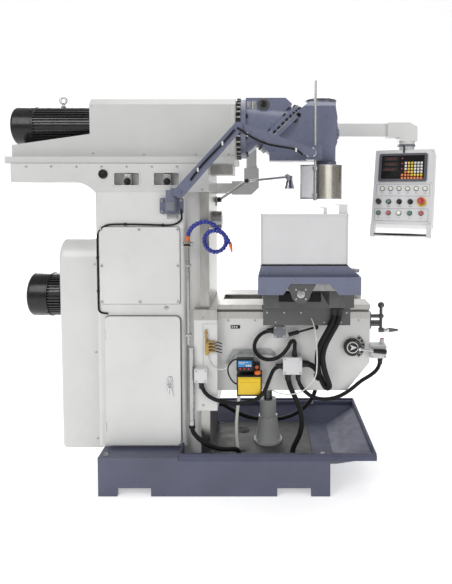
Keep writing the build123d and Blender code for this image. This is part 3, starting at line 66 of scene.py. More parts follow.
# %% Camera
def make_camera(place, tip_down, focal, shift):
    """A camera looking along +Y from place, tipped down by an angle in degrees."""
    data = bpy.data.cameras.new("workshop_camera")
    data.sensor_fit = "VERTICAL"
    data.sensor_height = 36
    data.lens = focal
    data.shift_x, data.shift_y = shift
    data.clip_end = 100
    camera = bpy.data.objects.new("workshop_camera", data)
    camera.location = place
    camera.rotation_euler = (math.radians(90 - tip_down), 0, 0)
    bpy.context.scene.collection.objects.link(camera)
    bpy.context.scene.camera = camera
    return camera


camera = make_camera(place=(0.240, -2.860, 1.445), tip_down=3.45, focal=33.84, shift=(-0.0668, -0.118))
print("camera at", tuple(round(v, 3) for v in camera.location))


# %% Lights and floor
def soft_light(name, place, target, size, power):
    """A square area light at place, turned towards target. Big lights close by give soft shadows."""
    data = bpy.data.lights.new(name, "AREA")
    data.size = size
    data.energy = power
    light = bpy.data.objects.new(name, data)
    light.location = place
    aim = np.array(target) - np.array(place)
    flat = math.hypot(aim[0], aim[1])
    light.rotation_euler = (math.atan2(flat, -aim[2]), 0, math.atan2(aim[1], aim[0]) - math.pi / 2)
    bpy.context.scene.collection.objects.link(light)
    return light


machine_middle = (0.0, 0.0, 1.0)
soft_light("key_light", (-2.6, -3.6, 3.6), machine_middle, 2.6, 95)
soft_light("fill_light", (3.2, -3.0, 2.0), machine_middle, 2.4, 34)
soft_light("top_light", (0.2, 0.6, 4.2), machine_middle, 3.0, 60)
soft_light("rear_light", (-1.5, 3.8, 2.6), machine_middle, 2.4, 90)

world = bpy.data.worlds.new("studio")
bpy.context.scene.world = world
world.use_nodes = True
world.node_tree.nodes["Background"].inputs["Color"].default_value = (1, 1, 1, 1)
world.node_tree.nodes["Background"].inputs["Strength"].default_value = 0.42
bpy.context.scene.view_settings.view_transform = "Standard"


def floor_surface(half, depth_rise):
    """A floor that curves up into a backdrop: height is zero, then a parabola beyond the back edge."""
    u = np.linspace(-half, half, 9)
    v = np.linspace(-half, half, 41)
    x, y = np.meshgrid(u, v, indexing="ij")
    z = depth_rise * np.clip(y / half - 0.55, 0, None) ** 2 * 40
    return x, y, z


# %% [markdown]
# ## Surfaces from numbers
# A surface is three arrays, x, y and z, over a grid of two parameters. One helper turns any such grid
# into a mesh, and joins its first and last row or column where the shape closes on itself. Ends that
# should be closed get a fan of triangles round one middle point.

# %% Grids to meshes
class Shape:
    """Points and faces gathered from several surfaces, to become one mesh. Lengths are in millimetres."""

    def __init__(self):
        self.points, self.faces, self.count = [], [], 0

    def add(self, points, *faces):
        """Takes an array of points, and arrays of faces that index into it, one row to a face."""
        points = np.asarray(points, float).reshape(-1, 3)
        self.faces += [np.asarray(rows) + self.count for rows in faces]
        self.points.append(points)
        self.count += len(points)
        return self

    def merge(self, *others):
        """Adds the points and faces of other shapes."""
        for other in others:
            self.add(np.concatenate(other.points), *other.faces)
        return self

    def moved(self, matrix, offset=(0, 0, 0)):
        """The same shape with every point multiplied by a 3 by 3 matrix and shifted."""
        points = np.concatenate(self.points) @ np.asarray(matrix, float).T + np.asarray(offset, float)
        return Shape().add(points, *self.faces)


def together(*shapes):
    """Several shapes as one."""
    return Shape().merge(*shapes)


def grid_faces(rows, columns, close_rows=False, close_columns=False):
    """Quads between neighbours of a rows by columns grid, wrapping round where asked."""
    i = np.arange(rows if close_rows else rows - 1)
    j = np.arange(columns if close_columns else columns - 1)
    i, j = np.meshgrid(i, j, indexing="ij")
    i2, j2 = (i + 1) % rows, (j + 1) % columns
    quads = np.stack([i * columns + j, i2 * columns + j, i2 * columns + j2, i * columns + j2], -1)
    return quads.reshape(-1, 4)


def ring_stack(rings, cap_start=True, cap_end=True):
    """Closed outlines of equal length, stacked in order, joined by quads and capped by fans. rings is
    an array of (number of rings, points round, 3), each running anticlockwise seen from the last
    ring."""
    rings = np.asarray(rings, float)
    count, around, _ = rings.shape
    shape = Shape().add(rings, grid_faces(count, around, close_columns=True)[:, ::-1])
    ends = [(cap_start, rings[0], False), (cap_end, rings[-1], True)]
    for wanted, ring, is_last in ends:
        if not wanted:
            continue
        points = np.vstack([ring, ring.mean(0)])
        k = np.arange(around)
        fan = np.stack([k, (k + 1) % around, np.full(around, around)], -1)
        shape.add(points, fan if is_last else fan[:, ::-1])
    return shape


def to_piece(name, shape, material, body, smooth=32):
    """Makes the mesh in metres, merges its seams, gives it a finish and lets it ride on a body."""
    mesh = bpy.data.meshes.new(name)
    faces = [row for rows in shape.faces for row in rows.tolist()]
    mesh.from_pydata((np.concatenate(shape.points) * MM).tolist(), [], faces)
    work = bmesh.new()
    work.from_mesh(mesh)
    bmesh.ops.remove_doubles(work, verts=work.verts, dist=1e-6)
    work.to_mesh(mesh)
    work.free()
    mesh.polygons.foreach_set("use_smooth", np.ones(len(mesh.polygons), bool))
    mesh.set_sharp_from_angle(angle=math.radians(smooth))
    mesh.materials.append(material)
    piece = bpy.data.objects.new(name, mesh)
    bpy.context.scene.collection.objects.link(piece)
    if body:
        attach(piece, body)
    print(f"{name}: {len(mesh.polygons)} faces on {body}")
    return piece


# %% Profiles and paths
def basis(normal, up=UP):
    """Three unit columns: sideways, upwards and outwards, for a flat thing whose face looks along
    normal."""
    out = np.asarray(normal, float) / np.linalg.norm(normal)
    if abs(np.dot(out, up)) > 0.99:
        up = (0, 1, 0) if abs(out[1]) < 0.9 else FORWARD
    side = np.cross(up, out)
    side /= np.linalg.norm(side)
    return np.stack([side, np.cross(out, side), out], 1)


def lathe(profile, place, normal, around=48, wave=None):
    """A turned shape: each (radius, height) of the profile is carried round the axis through place
    along normal. wave, a function of the angle, multiplies every radius, which turns a round shape into
    a knurled or hexagonal one."""
    profile = np.asarray(profile, float)
    angle = np.linspace(0, 2 * math.pi, around, endpoint=False)
    radius = profile[:, 0][:, None] * (wave(angle)[None, :] if wave else 1)
    height = np.repeat(profile[:, 1][:, None], around, 1)
    rings = np.stack([radius * np.cos(angle), radius * np.sin(angle), height], -1)
    return ring_stack(rings).moved(basis(normal), place)


def rounded_outline(width, height, radius, steps=6):
    """A rectangle with round corners, anticlockwise: four quarter circles whose centres are inset by
    the radius."""
    radius = min(radius, width / 2 - 1e-6, height / 2 - 1e-6)
    quarter = np.linspace(0, math.pi / 2, steps)
    corners = [(1, 1), (-1, 1), (-1, -1), (1, -1)]
    parts = []
    for k, (sx, sy) in enumerate(corners):
        turn = quarter + k * math.pi / 2
        cx, cy = sx * (width / 2 - radius), sy * (height / 2 - radius)
        parts.append(np.stack([cx + radius * np.cos(turn), cy + radius * np.sin(turn)], -1))
    return np.concatenate(parts)


def plate(width, height, thickness, corner, edge, place, normal, up=UP):
    """A rounded plate lying with its back at place: the outline shrinks over a quarter circle to soften
    its edge."""
    turn = np.linspace(0, math.pi / 2, 4)
    steps = [(0.0, 0.0)] + [(edge * (1 - math.cos(t)), thickness - edge + edge * math.sin(t)) for t in turn]
    rings = []
    for inset, rise in steps:
        flat = rounded_outline(width - 2 * inset, height - 2 * inset, max(corner - inset, 1e-4))
        rings.append(np.column_stack([flat, np.full(len(flat), rise)]))
    return ring_stack(rings).moved(basis(normal, up), place)


def frames_along(path):
    """Sideways and upwards unit vectors at each point of a path, turned as little as possible from one
    to the next."""
    path = np.asarray(path, float)
    ahead = np.gradient(path, axis=0)
    ahead /= np.linalg.norm(ahead, axis=1)[:, None]
    side = np.cross(ahead[0], UP if abs(ahead[0][2]) < 0.9 else (0, 1, 0))
    sides = []
    for direction in ahead:
        side = side - direction * np.dot(side, direction)
        side /= np.linalg.norm(side)
        sides.append(side)
    sides = np.array(sides)
    return ahead, sides, np.cross(ahead, sides)


def tube(path, radius, around=14, cap=True):
    """A round tube: at each point of the path a circle is drawn across it. radius is one number or one
    per point."""
    path = np.asarray(path, float)
    _, side, upward = frames_along(path)
    radius = np.broadcast_to(np.asarray(radius, float), (len(path),))
    angle = np.linspace(0, 2 * math.pi, around, endpoint=False)
    cos, sin = np.cos(angle)[None, :, None], np.sin(angle)[None, :, None]
    rings = path[:, None, :] + radius[:, None, None] * (cos * side[:, None, :] + sin * upward[:, None, :])
    return ring_stack(rings, cap, cap)


def smooth_path(points, step=4.0):
    """Points a step apart along a smooth curve led by a route: a NURBS spline in metres, read back as a
    line."""
    curve = bpy.data.curves.new("route", "CURVE")
    curve.dimensions = "3D"
    spline = curve.splines.new("NURBS")
    spline.points.add(len(points) - 1)
    for target, point in zip(spline.points, points):
        target.co = (point[0] * MM, point[1] * MM, point[2] * MM, 1)
    spline.order_u = 3
    spline.use_endpoint_u = True
    spline.resolution_u = 16
    holder = bpy.data.objects.new("route", curve)
    bpy.context.scene.collection.objects.link(holder)
    bpy.context.view_layer.update()
    line = bpy.data.meshes.new_from_object(holder)
    co = np.zeros(len(line.vertices) * 3)
    line.vertices.foreach_get("co", co)
    co = co.reshape(-1, 3) / MM
    bpy.data.objects.remove(holder)
    bpy.data.meshes.remove(line)
    length = np.concatenate([[0], np.cumsum(np.linalg.norm(np.diff(co, axis=0), axis=1))])
    even = np.linspace(0, length[-1], max(8, int(length[-1] / step)))
    return np.stack([np.interp(even, length, co[:, k]) for k in range(3)], -1)


def slab(x, y, z, corner=2.0, edge=0.6, face=LEFT):
    """A block between two limits on each axis, rounded round the face that looks along face."""
    limits = np.array([x, y, z], float)
    size, middle = limits[:, 1] - limits[:, 0], limits.mean(1)
    axis = int(np.argmax(np.abs(face)))
    across, along = ((1, 2), (0, 2), (0, 1))[axis]
    middle[axis] = limits[axis, 0] if face[axis] > 0 else limits[axis, 1]
    return plate(size[across], size[along], size[axis], corner, edge, middle, face)


def ring(place, normal, radius, thick, around=32, section=10):
    """A torus: a small circle of radius thick, carried round a large circle of the given radius."""
    u = np.linspace(0, 2 * math.pi, around, endpoint=False)[:, None]
    v = np.linspace(0, 2 * math.pi, section, endpoint=False)[None, :]
    reach = radius + thick * np.cos(v)
    points = np.stack([reach * np.cos(u), reach * np.sin(u), thick * np.sin(v) + 0 * u], -1)
    torus = Shape().add(points, grid_faces(around, section, True, True))
    return torus.moved(basis(normal), place)


def screw(place, normal, radius=4.0):
    """A socket screw: a short drum with a softened rim and a hollow in the middle."""
    r = radius
    profile = [(r, 0), (r, r * 0.7), (r * 0.88, r * 0.85), (r * 0.55, r * 0.85), (r * 0.5, r * 0.3),
        (0.01, r * 0.3)]
    return lathe(profile, place, normal, 14)


def hexagon(angle):
    """Stretches a circle into a hexagon: the radius is one over the cosine of the angle from the
    nearest flat."""
    return 1 / np.cos((angle + math.pi / 6) % (math.pi / 3) - math.pi / 6)


def nut(place, normal, radius, height):
    """A hexagonal nut with its top corners turned away."""
    r = radius
    profile = [(r, 0), (r, height * 0.8), (r * 0.86, height), (r * 0.4, height), (r * 0.4, height * 0.6),
        (0.01, height * 0.6)]
    return lathe(profile, place, normal, 24, hexagon)


def frame_outline(width, height, bar, thickness, corner, place, normal, up=UP):
    """A rounded picture frame: an outer and an inner outline at two heights, joined into a closed band."""
    outer = rounded_outline(width, height, corner)
    inner = rounded_outline(width - 2 * bar, height - 2 * bar, max(corner - bar, 0.3))
    rows = [(outer, 0), (outer, thickness), (inner, thickness), (inner, 0)]
    rings = np.stack([np.column_stack([flat, np.full(len(flat), rise)]) for flat, rise in rows])
    band = Shape().add(rings, grid_faces(4, rings.shape[1], True, True)[:, ::-1])
    return band.moved(basis(normal, up), place)


print("shape helpers ready")

# %% [markdown]
# ## Finishes
# Each finish is a small network of nodes. Colour is never one flat value: a slow noise shifts the tone,
# a fine noise makes the orange peel of sprayed paint or the grain of a casting, and a mask of the edges
# lets wear show there. The Bevel node rounds the light over the sharp edges of the frame's flat faces,
# and the difference between the rounded and the true direction is the edge mask.


# %% Building materials
class Finish:
    """A material under construction, with its shader and a short way to add and wire nodes."""

    def __init__(self, name):
        self.material = bpy.data.materials.new(name)
        self.material.use_nodes = True
        self.nodes = self.material.node_tree.nodes
        self.links = self.material.node_tree.links
        self.nodes.clear()
        self.shader = self.nodes.new("ShaderNodeBsdfPrincipled")
        output = self.nodes.new("ShaderNodeOutputMaterial")
        self.links.new(self.shader.outputs[0], output.inputs[0])
        self.where = self.nodes.new("ShaderNodeTexCoord").outputs["Object"]

    def put(self, socket, value):
        """Sets a socket to a number or colour, or wires another node's output into it."""
        if isinstance(value, bpy.types.NodeSocket):
            self.links.new(value, socket)
        elif hasattr(value, "__len__") and len(value) == 3 and socket.type == "RGBA":
            socket.default_value = (*value, 1)
        else:
            socket.default_value = value

    def node(self, kind, inputs=(), output=0, **settings):
        """Adds a node, applies its settings, fills its inputs and returns one output."""
        node = self.nodes.new("ShaderNode" + kind)
        for key, value in settings.items():
            setattr(node, key, value)
        for key, value in dict(inputs).items():
            self.put(node.inputs[key], value)
        return node.outputs[output]

    def stretched(self, x, y, z):
        """Object coordinates stretched by a factor along each axis, for brushed and drawn patterns."""
        return self.node("Mapping", {"Vector": self.where, "Scale": (x, y, z)})

    def noise(self, scale, detail=3.0, roughness=0.55, where=None):
        """Fractal noise from 0 to 1."""
        inputs = {"Vector": where or self.where, "Scale": scale, "Detail": detail, "Roughness": roughness}
        return self.node("TexNoise", inputs)

    def ramp(self, factor, *stops):
        """A colour or a number that changes along the factor. Each stop is (position, number or colour)."""
        node = self.nodes.new("ShaderNodeValToRGB")
        elements = node.color_ramp.elements
        while len(elements) < len(stops):
            elements.new(0.5)
        for element, (position, value) in zip(elements, stops):
            element.position = position
            colour = (value, value, value) if isinstance(value, (int, float)) else value
            element.color = (*colour, 1)
        self.links.new(factor, node.inputs[0])
        return node.outputs[0]

    def blend(self, factor, first, second):
        """first where the factor is 0 and second where it is 1."""
        node = self.nodes.new("ShaderNodeMix")
        node.data_type = "RGBA"
        self.put(node.inputs[0], factor)
        self.put(node.inputs[6], first)
        self.put(node.inputs[7], second)
        return node.outputs[2]

    def math(self, operation, first, second=0.0):
        """One arithmetic step on two numbers."""
        return self.node("Math", {0: first, 1: second}, operation=operation)

    def edges(self, radius):
        """A rounded normal and a mask that is 1 along sharp edges: 1 minus the rounded normal's
        likeness to the true one."""
        rounded = self.node("Bevel", {"Radius": radius}, samples=4)
        true = self.node("NewGeometry", output=1)
        likeness = self.node("VectorMath", {0: rounded, 1: true}, output=1, operation="DOT_PRODUCT")
        return rounded, self.ramp(likeness, (0.86, 1.0), (0.985, 0.0))

    def bump(self, height, strength, distance, normal=None):
        """Tilts the light as if the surface rose by height times distance."""
        inputs = {"Height": height, "Strength": strength, "Distance": distance}
        if normal is not None:
            inputs["Normal"] = normal
        return self.node("Bump", inputs)

    def zone(self, *bands):
        """1 inside any of the bands and 0 elsewhere. A band is (axis, low, high) in millimetres on x, y
        or z."""
        split = self.node_of("SeparateXYZ", self.where)
        inside = None
        for axis, low, high in bands:
            value = split.outputs["XYZ".index(axis)]
            above = self.math("GREATER_THAN", value, low * MM)
            below = self.math("LESS_THAN", value, high * MM)
            band = self.math("MULTIPLY", above, below)
            inside = band if inside is None else self.math("MAXIMUM", inside, band)
        return inside

    def node_of(self, kind, first):
        """A node itself rather than one output, with its first input wired."""
        node = self.nodes.new("ShaderNode" + kind)
        self.put(node.inputs[0], first)
        return node

    def set(self, **values):
        """Fills the shader's own sockets: colour, metallic, roughness, normal and the rest."""
        names = {"colour": "Base Color", "metallic": "Metallic", "roughness": "Roughness",
            "normal": "Normal", "coat": "Coat Weight",
            "coat_roughness": "Coat Roughness", "ior": "IOR", "alpha": "Alpha",
            "transmission": "Transmission Weight", "specular": "Specular IOR Level",
            "anisotropy": "Anisotropic", "glow": "Emission Color",
            "glow_strength": "Emission Strength"}
        for key, value in values.items():
            self.put(self.shader.inputs[names[key]], value)
        return self.material


# %% Sprayed and cast paint
def sprayed_paint(name, colour, peel=0.10, grime=0.12, gloss=0.34, wear=0.35, bare=(0.30, 0.29, 0.28),
        ground=()):
    """Two-pack machine paint: slow tone drift, orange peel, faint grime and rubbed edges. ground lists
    the bands where the casting was machined after painting, which show bare scraped iron."""
    f = Finish(name)
    rounded, edge = f.edges(0.003)
    drift = f.noise(2.3, 4.0)
    blotch = f.noise(14.0, 5.0, 0.65)
    darker = tuple(c * 0.90 for c in colour)
    tone = f.blend(f.ramp(drift, (0.35, 0.0), (0.7, 1.0)), colour, darker)
    smudge = f.ramp(blotch, (0.50, 0.0), (0.78, grime))
    tone = f.blend(smudge, tone, tuple(c * 0.62 for c in colour))
    chips = f.math("MULTIPLY", edge, f.ramp(f.noise(60.0, 6.0, 0.7), (0.58, 0.0), (0.66, wear)))
    tone = f.blend(chips, tone, bare)
    roughness = f.ramp(f.noise(32.0, 3.0), (0.3, gloss - 0.06), (0.75, gloss + 0.12))
    metallic = 0.0
    if ground:
        metallic = f.zone(*ground)
        scraped = f.noise(1.0, 3.0, 0.6, f.stretched(60, 60, 12))
        iron = f.blend(f.ramp(scraped, (0.35, 0.0), (0.65, 1.0)), (0.40, 0.39, 0.37), (0.46, 0.45, 0.43))
        tone = f.blend(metallic, tone, iron)
        roughness = f.blend(metallic, roughness, f.ramp(scraped, (0.3, 0.28), (0.7, 0.38)))
    grain = f.bump(f.noise(420.0, 2.0), peel, 0.0006, rounded)
    return f.set(colour=tone, metallic=metallic, roughness=roughness, normal=grain, coat=0.25,
        coat_roughness=0.18)


def cast_paint(name, colour, lump=0.12, gloss=0.38, coat=0.3):
    """Paint over a filled casting: a soft lumpiness under the film, with darker hollows and paler
    rubbed crests."""
    f = Finish(name)
    rounded, edge = f.edges(0.004)
    drift = f.noise(5.0, 4.0)
    tone = f.blend(f.ramp(drift, (0.3, 0.0), (0.72, 1.0)), tuple(c * 1.08 for c in colour),
        tuple(c * 0.82 for c in colour))
    rubbed = f.math("MULTIPLY", edge, f.ramp(f.noise(40.0, 5.0, 0.7), (0.45, 0.0), (0.75, 0.32)))
    tone = f.blend(rubbed, tone, tuple(min(1, c * 1.9 + 0.03) for c in colour))
    dust = f.ramp(f.noise(75.0, 6.0, 0.7), (0.55, 0.0), (0.85, 0.05))
    tone = f.blend(dust, tone, (0.42, 0.40, 0.36))
    roughness = f.ramp(f.noise(24.0, 4.0), (0.3, gloss - 0.08), (0.75, gloss + 0.14))
    lumps = f.bump(f.noise(26.0, 3.0), lump, 0.0018, rounded)
    grain = f.bump(f.noise(260.0, 3.0), 0.25, 0.0005, lumps)
    return f.set(colour=tone, roughness=roughness, normal=grain, coat=coat, coat_roughness=0.22)


WHITE = (0.66, 0.66, 0.65)
white_paint = sprayed_paint("white_machine_paint", WHITE)
column_paint = sprayed_paint("white_column_paint", WHITE, ground=[("X", -76, 0)])
knee_paint = sprayed_paint("white_knee_paint", WHITE, ground=[("Z", 817.5, 900)])
housing_paint = sprayed_paint("white_housing_paint", (0.58, 0.58, 0.57), ground=[("Z", 1570, 1574)])
ram_paint = sprayed_paint("white_ram_paint", (0.54, 0.54, 0.53), ground=[("Z", 0, 1571)])
ram_cover_paint = sprayed_paint("white_ram_cover_paint", (0.53, 0.53, 0.52), peel=0.06)
panel_paint = sprayed_paint("grey_white_panel_paint", (0.62, 0.62, 0.63), peel=0.06, grime=0.06, wear=0.15)
blue_grey_paint = cast_paint("blue_grey_head_paint", (0.138, 0.150, 0.222), gloss=0.30)
base_paint = cast_paint("blue_base_paint", (0.072, 0.078, 0.130), lump=0.15)
tray_paint = cast_paint("blue_tray_paint", (0.062, 0.067, 0.118), lump=0.06, gloss=0.55, coat=0.04)
dark_paint = cast_paint("dark_grey_casting_paint", (0.072, 0.075, 0.072))
deck_paint = cast_paint("sump_deck_paint", (0.055, 0.057, 0.053), lump=0.05, gloss=0.55, coat=0.04)
pedestal_paint = sprayed_paint("pedestal_grey_paint", (0.40, 0.41, 0.40))
print("paints ready")


# %% Metals
def ground_metal(name, colour, grain_axis, roughness=0.28, metallic=1.0, streak=0.5):
    """Ground or turned metal: long fine scratches along one axis, from noise squeezed across it."""
    f = Finish(name)
    rounded, edge = f.edges(0.0015)
    stretch = {"x": (8, 520, 520), "y": (520, 8, 520), "z": (520, 520, 8),
        "none": (160, 160, 160)}[grain_axis]
    scratches = f.noise(1.0, 3.0, 0.6, f.stretched(*stretch))
    cloud = f.noise(7.0, 5.0, 0.6)
    tone = f.blend(f.ramp(cloud, (0.35, 0.0), (0.7, 0.55)), colour, tuple(c * 0.72 for c in colour))
    tone = f.blend(f.ramp(scratches, (0.45, 0.0), (0.65, 0.22)), tone,
        tuple(min(1, c * 1.18) for c in colour))
    tone = f.blend(f.math("MULTIPLY", edge, 0.5), tone, (0.8, 0.8, 0.8))
    rough = f.ramp(scratches, (0.3, roughness - 0.08), (0.7, roughness + 0.16))
    relief = f.bump(scratches, streak * 0.4, 0.0002, rounded)
    return f.set(colour=tone, metallic=metallic, roughness=rough, normal=relief, anisotropy=0.35)


def polished_chrome(name):
    """Chrome plate: nearly a mirror, with faint wiping marks that only show in the roughness."""
    f = Finish(name)
    rounded, _ = f.edges(0.001)
    wipe = f.noise(1.0, 3.0, 0.6, f.stretched(30, 30, 4))
    rough = f.ramp(wipe, (0.3, 0.05), (0.75, 0.17))
    tone = f.blend(f.ramp(f.noise(9.0), (0.4, 0.0), (0.7, 0.4)), (0.62, 0.62, 0.64), (0.46, 0.46, 0.48))
    return f.set(colour=tone, metallic=1.0, roughness=rough, normal=rounded)


f = Finish("table_underside_paint")
rounded, worn = f.edges(0.002)
above = f.zone(("Z", 1037, 1200))
milled = f.noise(1.0, 3.0, 0.6, f.stretched(60, 8, 60))
iron = f.blend(f.ramp(milled, (0.35, 0.0), (0.7, 1.0)), (0.42, 0.42, 0.41), (0.34, 0.34, 0.33))
under = f.blend(f.ramp(f.noise(20.0, 4.0), (0.3, 0.0), (0.7, 1.0)), (0.060, 0.062, 0.060),
    (0.085, 0.088, 0.085))
table_finish = f.set(colour=f.blend(f.math("MULTIPLY", worn, 0.3), f.blend(above, under, iron),
        (0.5, 0.5, 0.5)), metallic=above,
    roughness=f.ramp(milled, (0.3, 0.28), (0.7, 0.42)), normal=rounded)
bright_steel = ground_metal("turned_steel", (0.44, 0.44, 0.44), "none", 0.26, streak=0.05)
black_steel = ground_metal("blackened_steel", (0.11, 0.11, 0.11), "none", 0.28, streak=0.05)
chrome = polished_chrome("polished_chrome")
brass = ground_metal("brass_fitting", (0.42, 0.28, 0.10), "none", 0.28, streak=0.05)
print("metals ready")


# %% Plastics, rubber and enamel
def moulded(name, colour, roughness=0.35, grain=0.15, scale=900.0, coat=0.0, metallic=0.0, specular=0.5):
    """Moulded plastic, rubber or enamel: a fine even grain, with the sheen broken by handling marks."""
    f = Finish(name)
    rounded, edge = f.edges(0.0012)
    marks = f.noise(38.0, 4.0, 0.6)
    tone = f.blend(f.ramp(marks, (0.35, 0.0), (0.75, 0.6)), colour, tuple(c * 0.78 for c in colour))
    tone = f.blend(f.math("MULTIPLY", edge, 0.25), tone, tuple(min(1, c * 1.4 + 0.012) for c in colour))
    rough = f.ramp(marks, (0.3, max(0.05, roughness - 0.07)), (0.75, roughness + 0.12))
    relief = f.bump(f.noise(scale, 2.0), grain, 0.0003, rounded)
    return f.set(colour=tone, roughness=rough, normal=relief, coat=coat, metallic=metallic,
        specular=specular)


black_enamel = moulded("black_motor_enamel", (0.009, 0.009, 0.010), 0.26, 0.25, 380.0, coat=0.15,
    specular=0.3)
black_plastic = moulded("black_plastic", (0.012, 0.012, 0.013), 0.34, specular=0.3)
black_rubber = moulded("black_rubber", (0.010, 0.010, 0.011), 0.5, 0.3, 500.0, specular=0.2)
blue_plastic = moulded("blue_hose_plastic", (0.010, 0.022, 0.26), 0.24, coat=0.3)
label_plastic = moulded("oiler_label_film", (0.03, 0.22, 0.52), 0.3)
orange_plastic = moulded("orange_nozzle_plastic", (0.75, 0.17, 0.02), 0.3, coat=0.2)
yellow_plastic = moulded("yellow_tank_plastic", (0.78, 0.52, 0.015), 0.34, coat=0.15)
red_plastic = moulded("red_button_plastic", (0.40, 0.018, 0.016), 0.26, coat=0.1)
green_plastic = moulded("green_button_plastic", (0.008, 0.12, 0.07), 0.26, coat=0.1)
white_plastic = moulded("white_plastic", (0.70, 0.70, 0.68), 0.33)
ivory_plastic = moulded("ivory_button_plastic", (0.78, 0.76, 0.68), 0.25, coat=0.2)
grey_box_paint = moulded("grey_junction_box", (0.17, 0.175, 0.20), 0.42, 0.3, 420.0)
print("plastics ready")

# %% [markdown]
# ## Dressing the frame's own pieces
# A table from piece to finish is easier to read and to change than sixty separate lines, and a check at
# the end makes sure that no piece is left bare.

# %% Finishes by piece
node_finish = {
    base_paint: ["base_casting"],
    tray_paint: ["coolant_tray"],
    deck_paint: ["sump_cover"],
    pedestal_paint: ["screw_pedestal"],
    dark_paint: ["saddle_casting", "table_saddle", "screw_brackets"],
    column_paint: ["column_casting"],
    knee_paint: ["knee_casting"],
    housing_paint: ["top_housing"],
    white_paint: ["electrical_cover", "cabinet_door", "belt_cover", "pendant_bracket",
        "pendant_arm"],
    panel_paint: ["control_panel", "splash_plate", "knee_boxes"],
    blue_grey_paint: ["head_knuckle", "head_body", "end_trays", "cable_arm_bracket", "cable_link_lower",
        "cable_link_upper"],
    ram_paint: ["ram_casting"],
    ram_cover_paint: ["ram_cover"],
    table_finish: ["work_table"],
    bright_steel: ["motor_pulley", "input_shaft", "horizontal_spindle", "vertical_spindle", "guard_rod",
        "leadscrew", "column_fittings", "spindle_guard"],
    chrome: ["lamp_arm_lower", "lamp_arm_upper"],
    black_steel: ["elevating_screw", "feed_crank", "crank_flanges"],
    black_enamel: ["ram_motor", "spindle_motor"],
    black_plastic: ["feed_lever", "lock_lever", "speed_knob", "mode_selector", "axis_selector"],
    black_rubber: ["drive_belts", "knee_conduits", "tray_conduits", "saddle_conduits"],
    blue_plastic: ["coolant_hoses"],
    yellow_plastic: ["lubricator"],
    green_plastic: ["coolant_button", "feed_start_button", "spindle_start_button"],
    red_plastic: ["emergency_stop", "feed_stop_button", "spindle_stop_button"],
    ivory_plastic: ["rapid_button"],
}
for finish, names in node_finish.items():
    for name in names:
        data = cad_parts[name].data
        data.materials.clear()
        data.materials.append(finish)
dressed = [name for names in node_finish.values() for name in names]
print("pieces still bare:", sorted(set(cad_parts) - set(dressed)))

# %% Floor
f = Finish("studio_floor")
tone = f.blend(f.ramp(f.noise(1.5, 3.0), (0.3, 0.0), (0.7, 1.0)), (0.93, 0.93, 0.93), (0.90, 0.90, 0.90))
studio_floor = f.set(colour=tone, roughness=0.6, glow=(1.0, 1.0, 1.0), glow_strength=0.45)
x, y, z = floor_surface(7.0, 0.9)
mesh = bpy.data.meshes.new("studio_floor")
mesh.from_pydata(np.stack([x, y, z - 0.0005], -1).reshape(-1, 3).tolist(), [],
    grid_faces(*x.shape).tolist())
mesh.polygons.foreach_set("use_smooth", np.ones(len(mesh.polygons), bool))
mesh.materials.append(studio_floor)
floor = bpy.data.objects.new("studio_floor", mesh)
bpy.context.scene.collection.objects.link(floor)

# %% [markdown]
# ## Motors
# A totally enclosed motor is a ribbed iron barrel with a plain sheet cowl over its fan. The ribs are
# the part that a smooth drum lacks. The barrel is a circle whose radius swells at each rib, so one wave
# of the angle makes all of them at once, and the cowl is a profile turned round the same axis.

# %% Ribbed motors
black_fins = moulded("ribbed_motor_enamel", (0.010, 0.010, 0.011), 0.30, 0.3, 300.0, coat=0.3)


def ribbed_barrel(x0, x1, root, tip, ribs, z):
    """A drum along X: its radius is the root plus a flat-topped wave of the angle that reaches the tip
    at each rib."""

    def wave(angle):
        return 1 + (tip / root - 1) * np.clip(0.5 + 2.4 * np.cos(ribs * angle), 0, 1)

    length = x1 - x0
    profile = [(root * 0.94, 0), (root, 3), (root, length - 3), (root * 0.94, length)]
    return lathe(profile, (x0, 0, z), FORWARD, ribs * 10, wave)


def fan_cowl(x0, length, radius, z):
    """A pressed cowl: a grille of rings at the rear, a rounded shoulder, a long wall and a rolled front
    edge."""
    grille = [(r + step, 1.5 + 2.5 * (step in (2, 4))) for r in range(14, int(radius * 0.72), 8)
        for step in (0, 2, 4, 6)]
    turn = np.linspace(0, math.pi / 2, 6)
    shoulder = [(radius - 16 + 16 * math.sin(t), 16 - 16 * math.cos(t)) for t in turn]
    wall = [(radius, length - 12), (radius + 1.5, length - 10), (radius + 1.5, length - 2),
        (radius - 2, length), (radius - 12, length)]
    return lathe([(10, 0)] + grille + [(radius * 0.8, 0)] + shoulder + wall, (x0, 0, z), FORWARD, 72)


def motor_screws(x, radius, z):
    """Four screws round the cowl, each pointing away from the axis."""
    parts = []
    for turn in (45, 135, 225, 315):
        a = math.radians(turn)
        parts.append(screw((x, radius * math.cos(a), z + radius * math.sin(a)),
                (0, math.cos(a), math.sin(a)), 4))
    return together(*parts)


ram_barrel = together(ribbed_barrel(-932, -590.4, 84, 95, 40, 1772),
    lathe([(90, 0), (96, 2), (96, 12), (90, 14)], (-936, 0, 1772), FORWARD, 64))
to_ram = to_piece("ram_motor_barrel", ram_barrel, black_fins, "ram")
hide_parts("ram_motor")
cowl = together(fan_cowl(-1038, 112, 96.5, 1772), motor_screws(-940, 97, 1772))
to_piece("ram_motor_cowl", cowl, black_enamel, "ram")
eye = together(lathe([(11, 0), (12, 3), (12, 7), (8, 9), (6.5, 16), (8, 22)], (-798, 0, 1868), UP, 28),
    ring((-798, 0, 1904), (0, 1, 0), 16, 5.5))
to_piece("ram_motor_eye", eye, bright_steel, "ram")

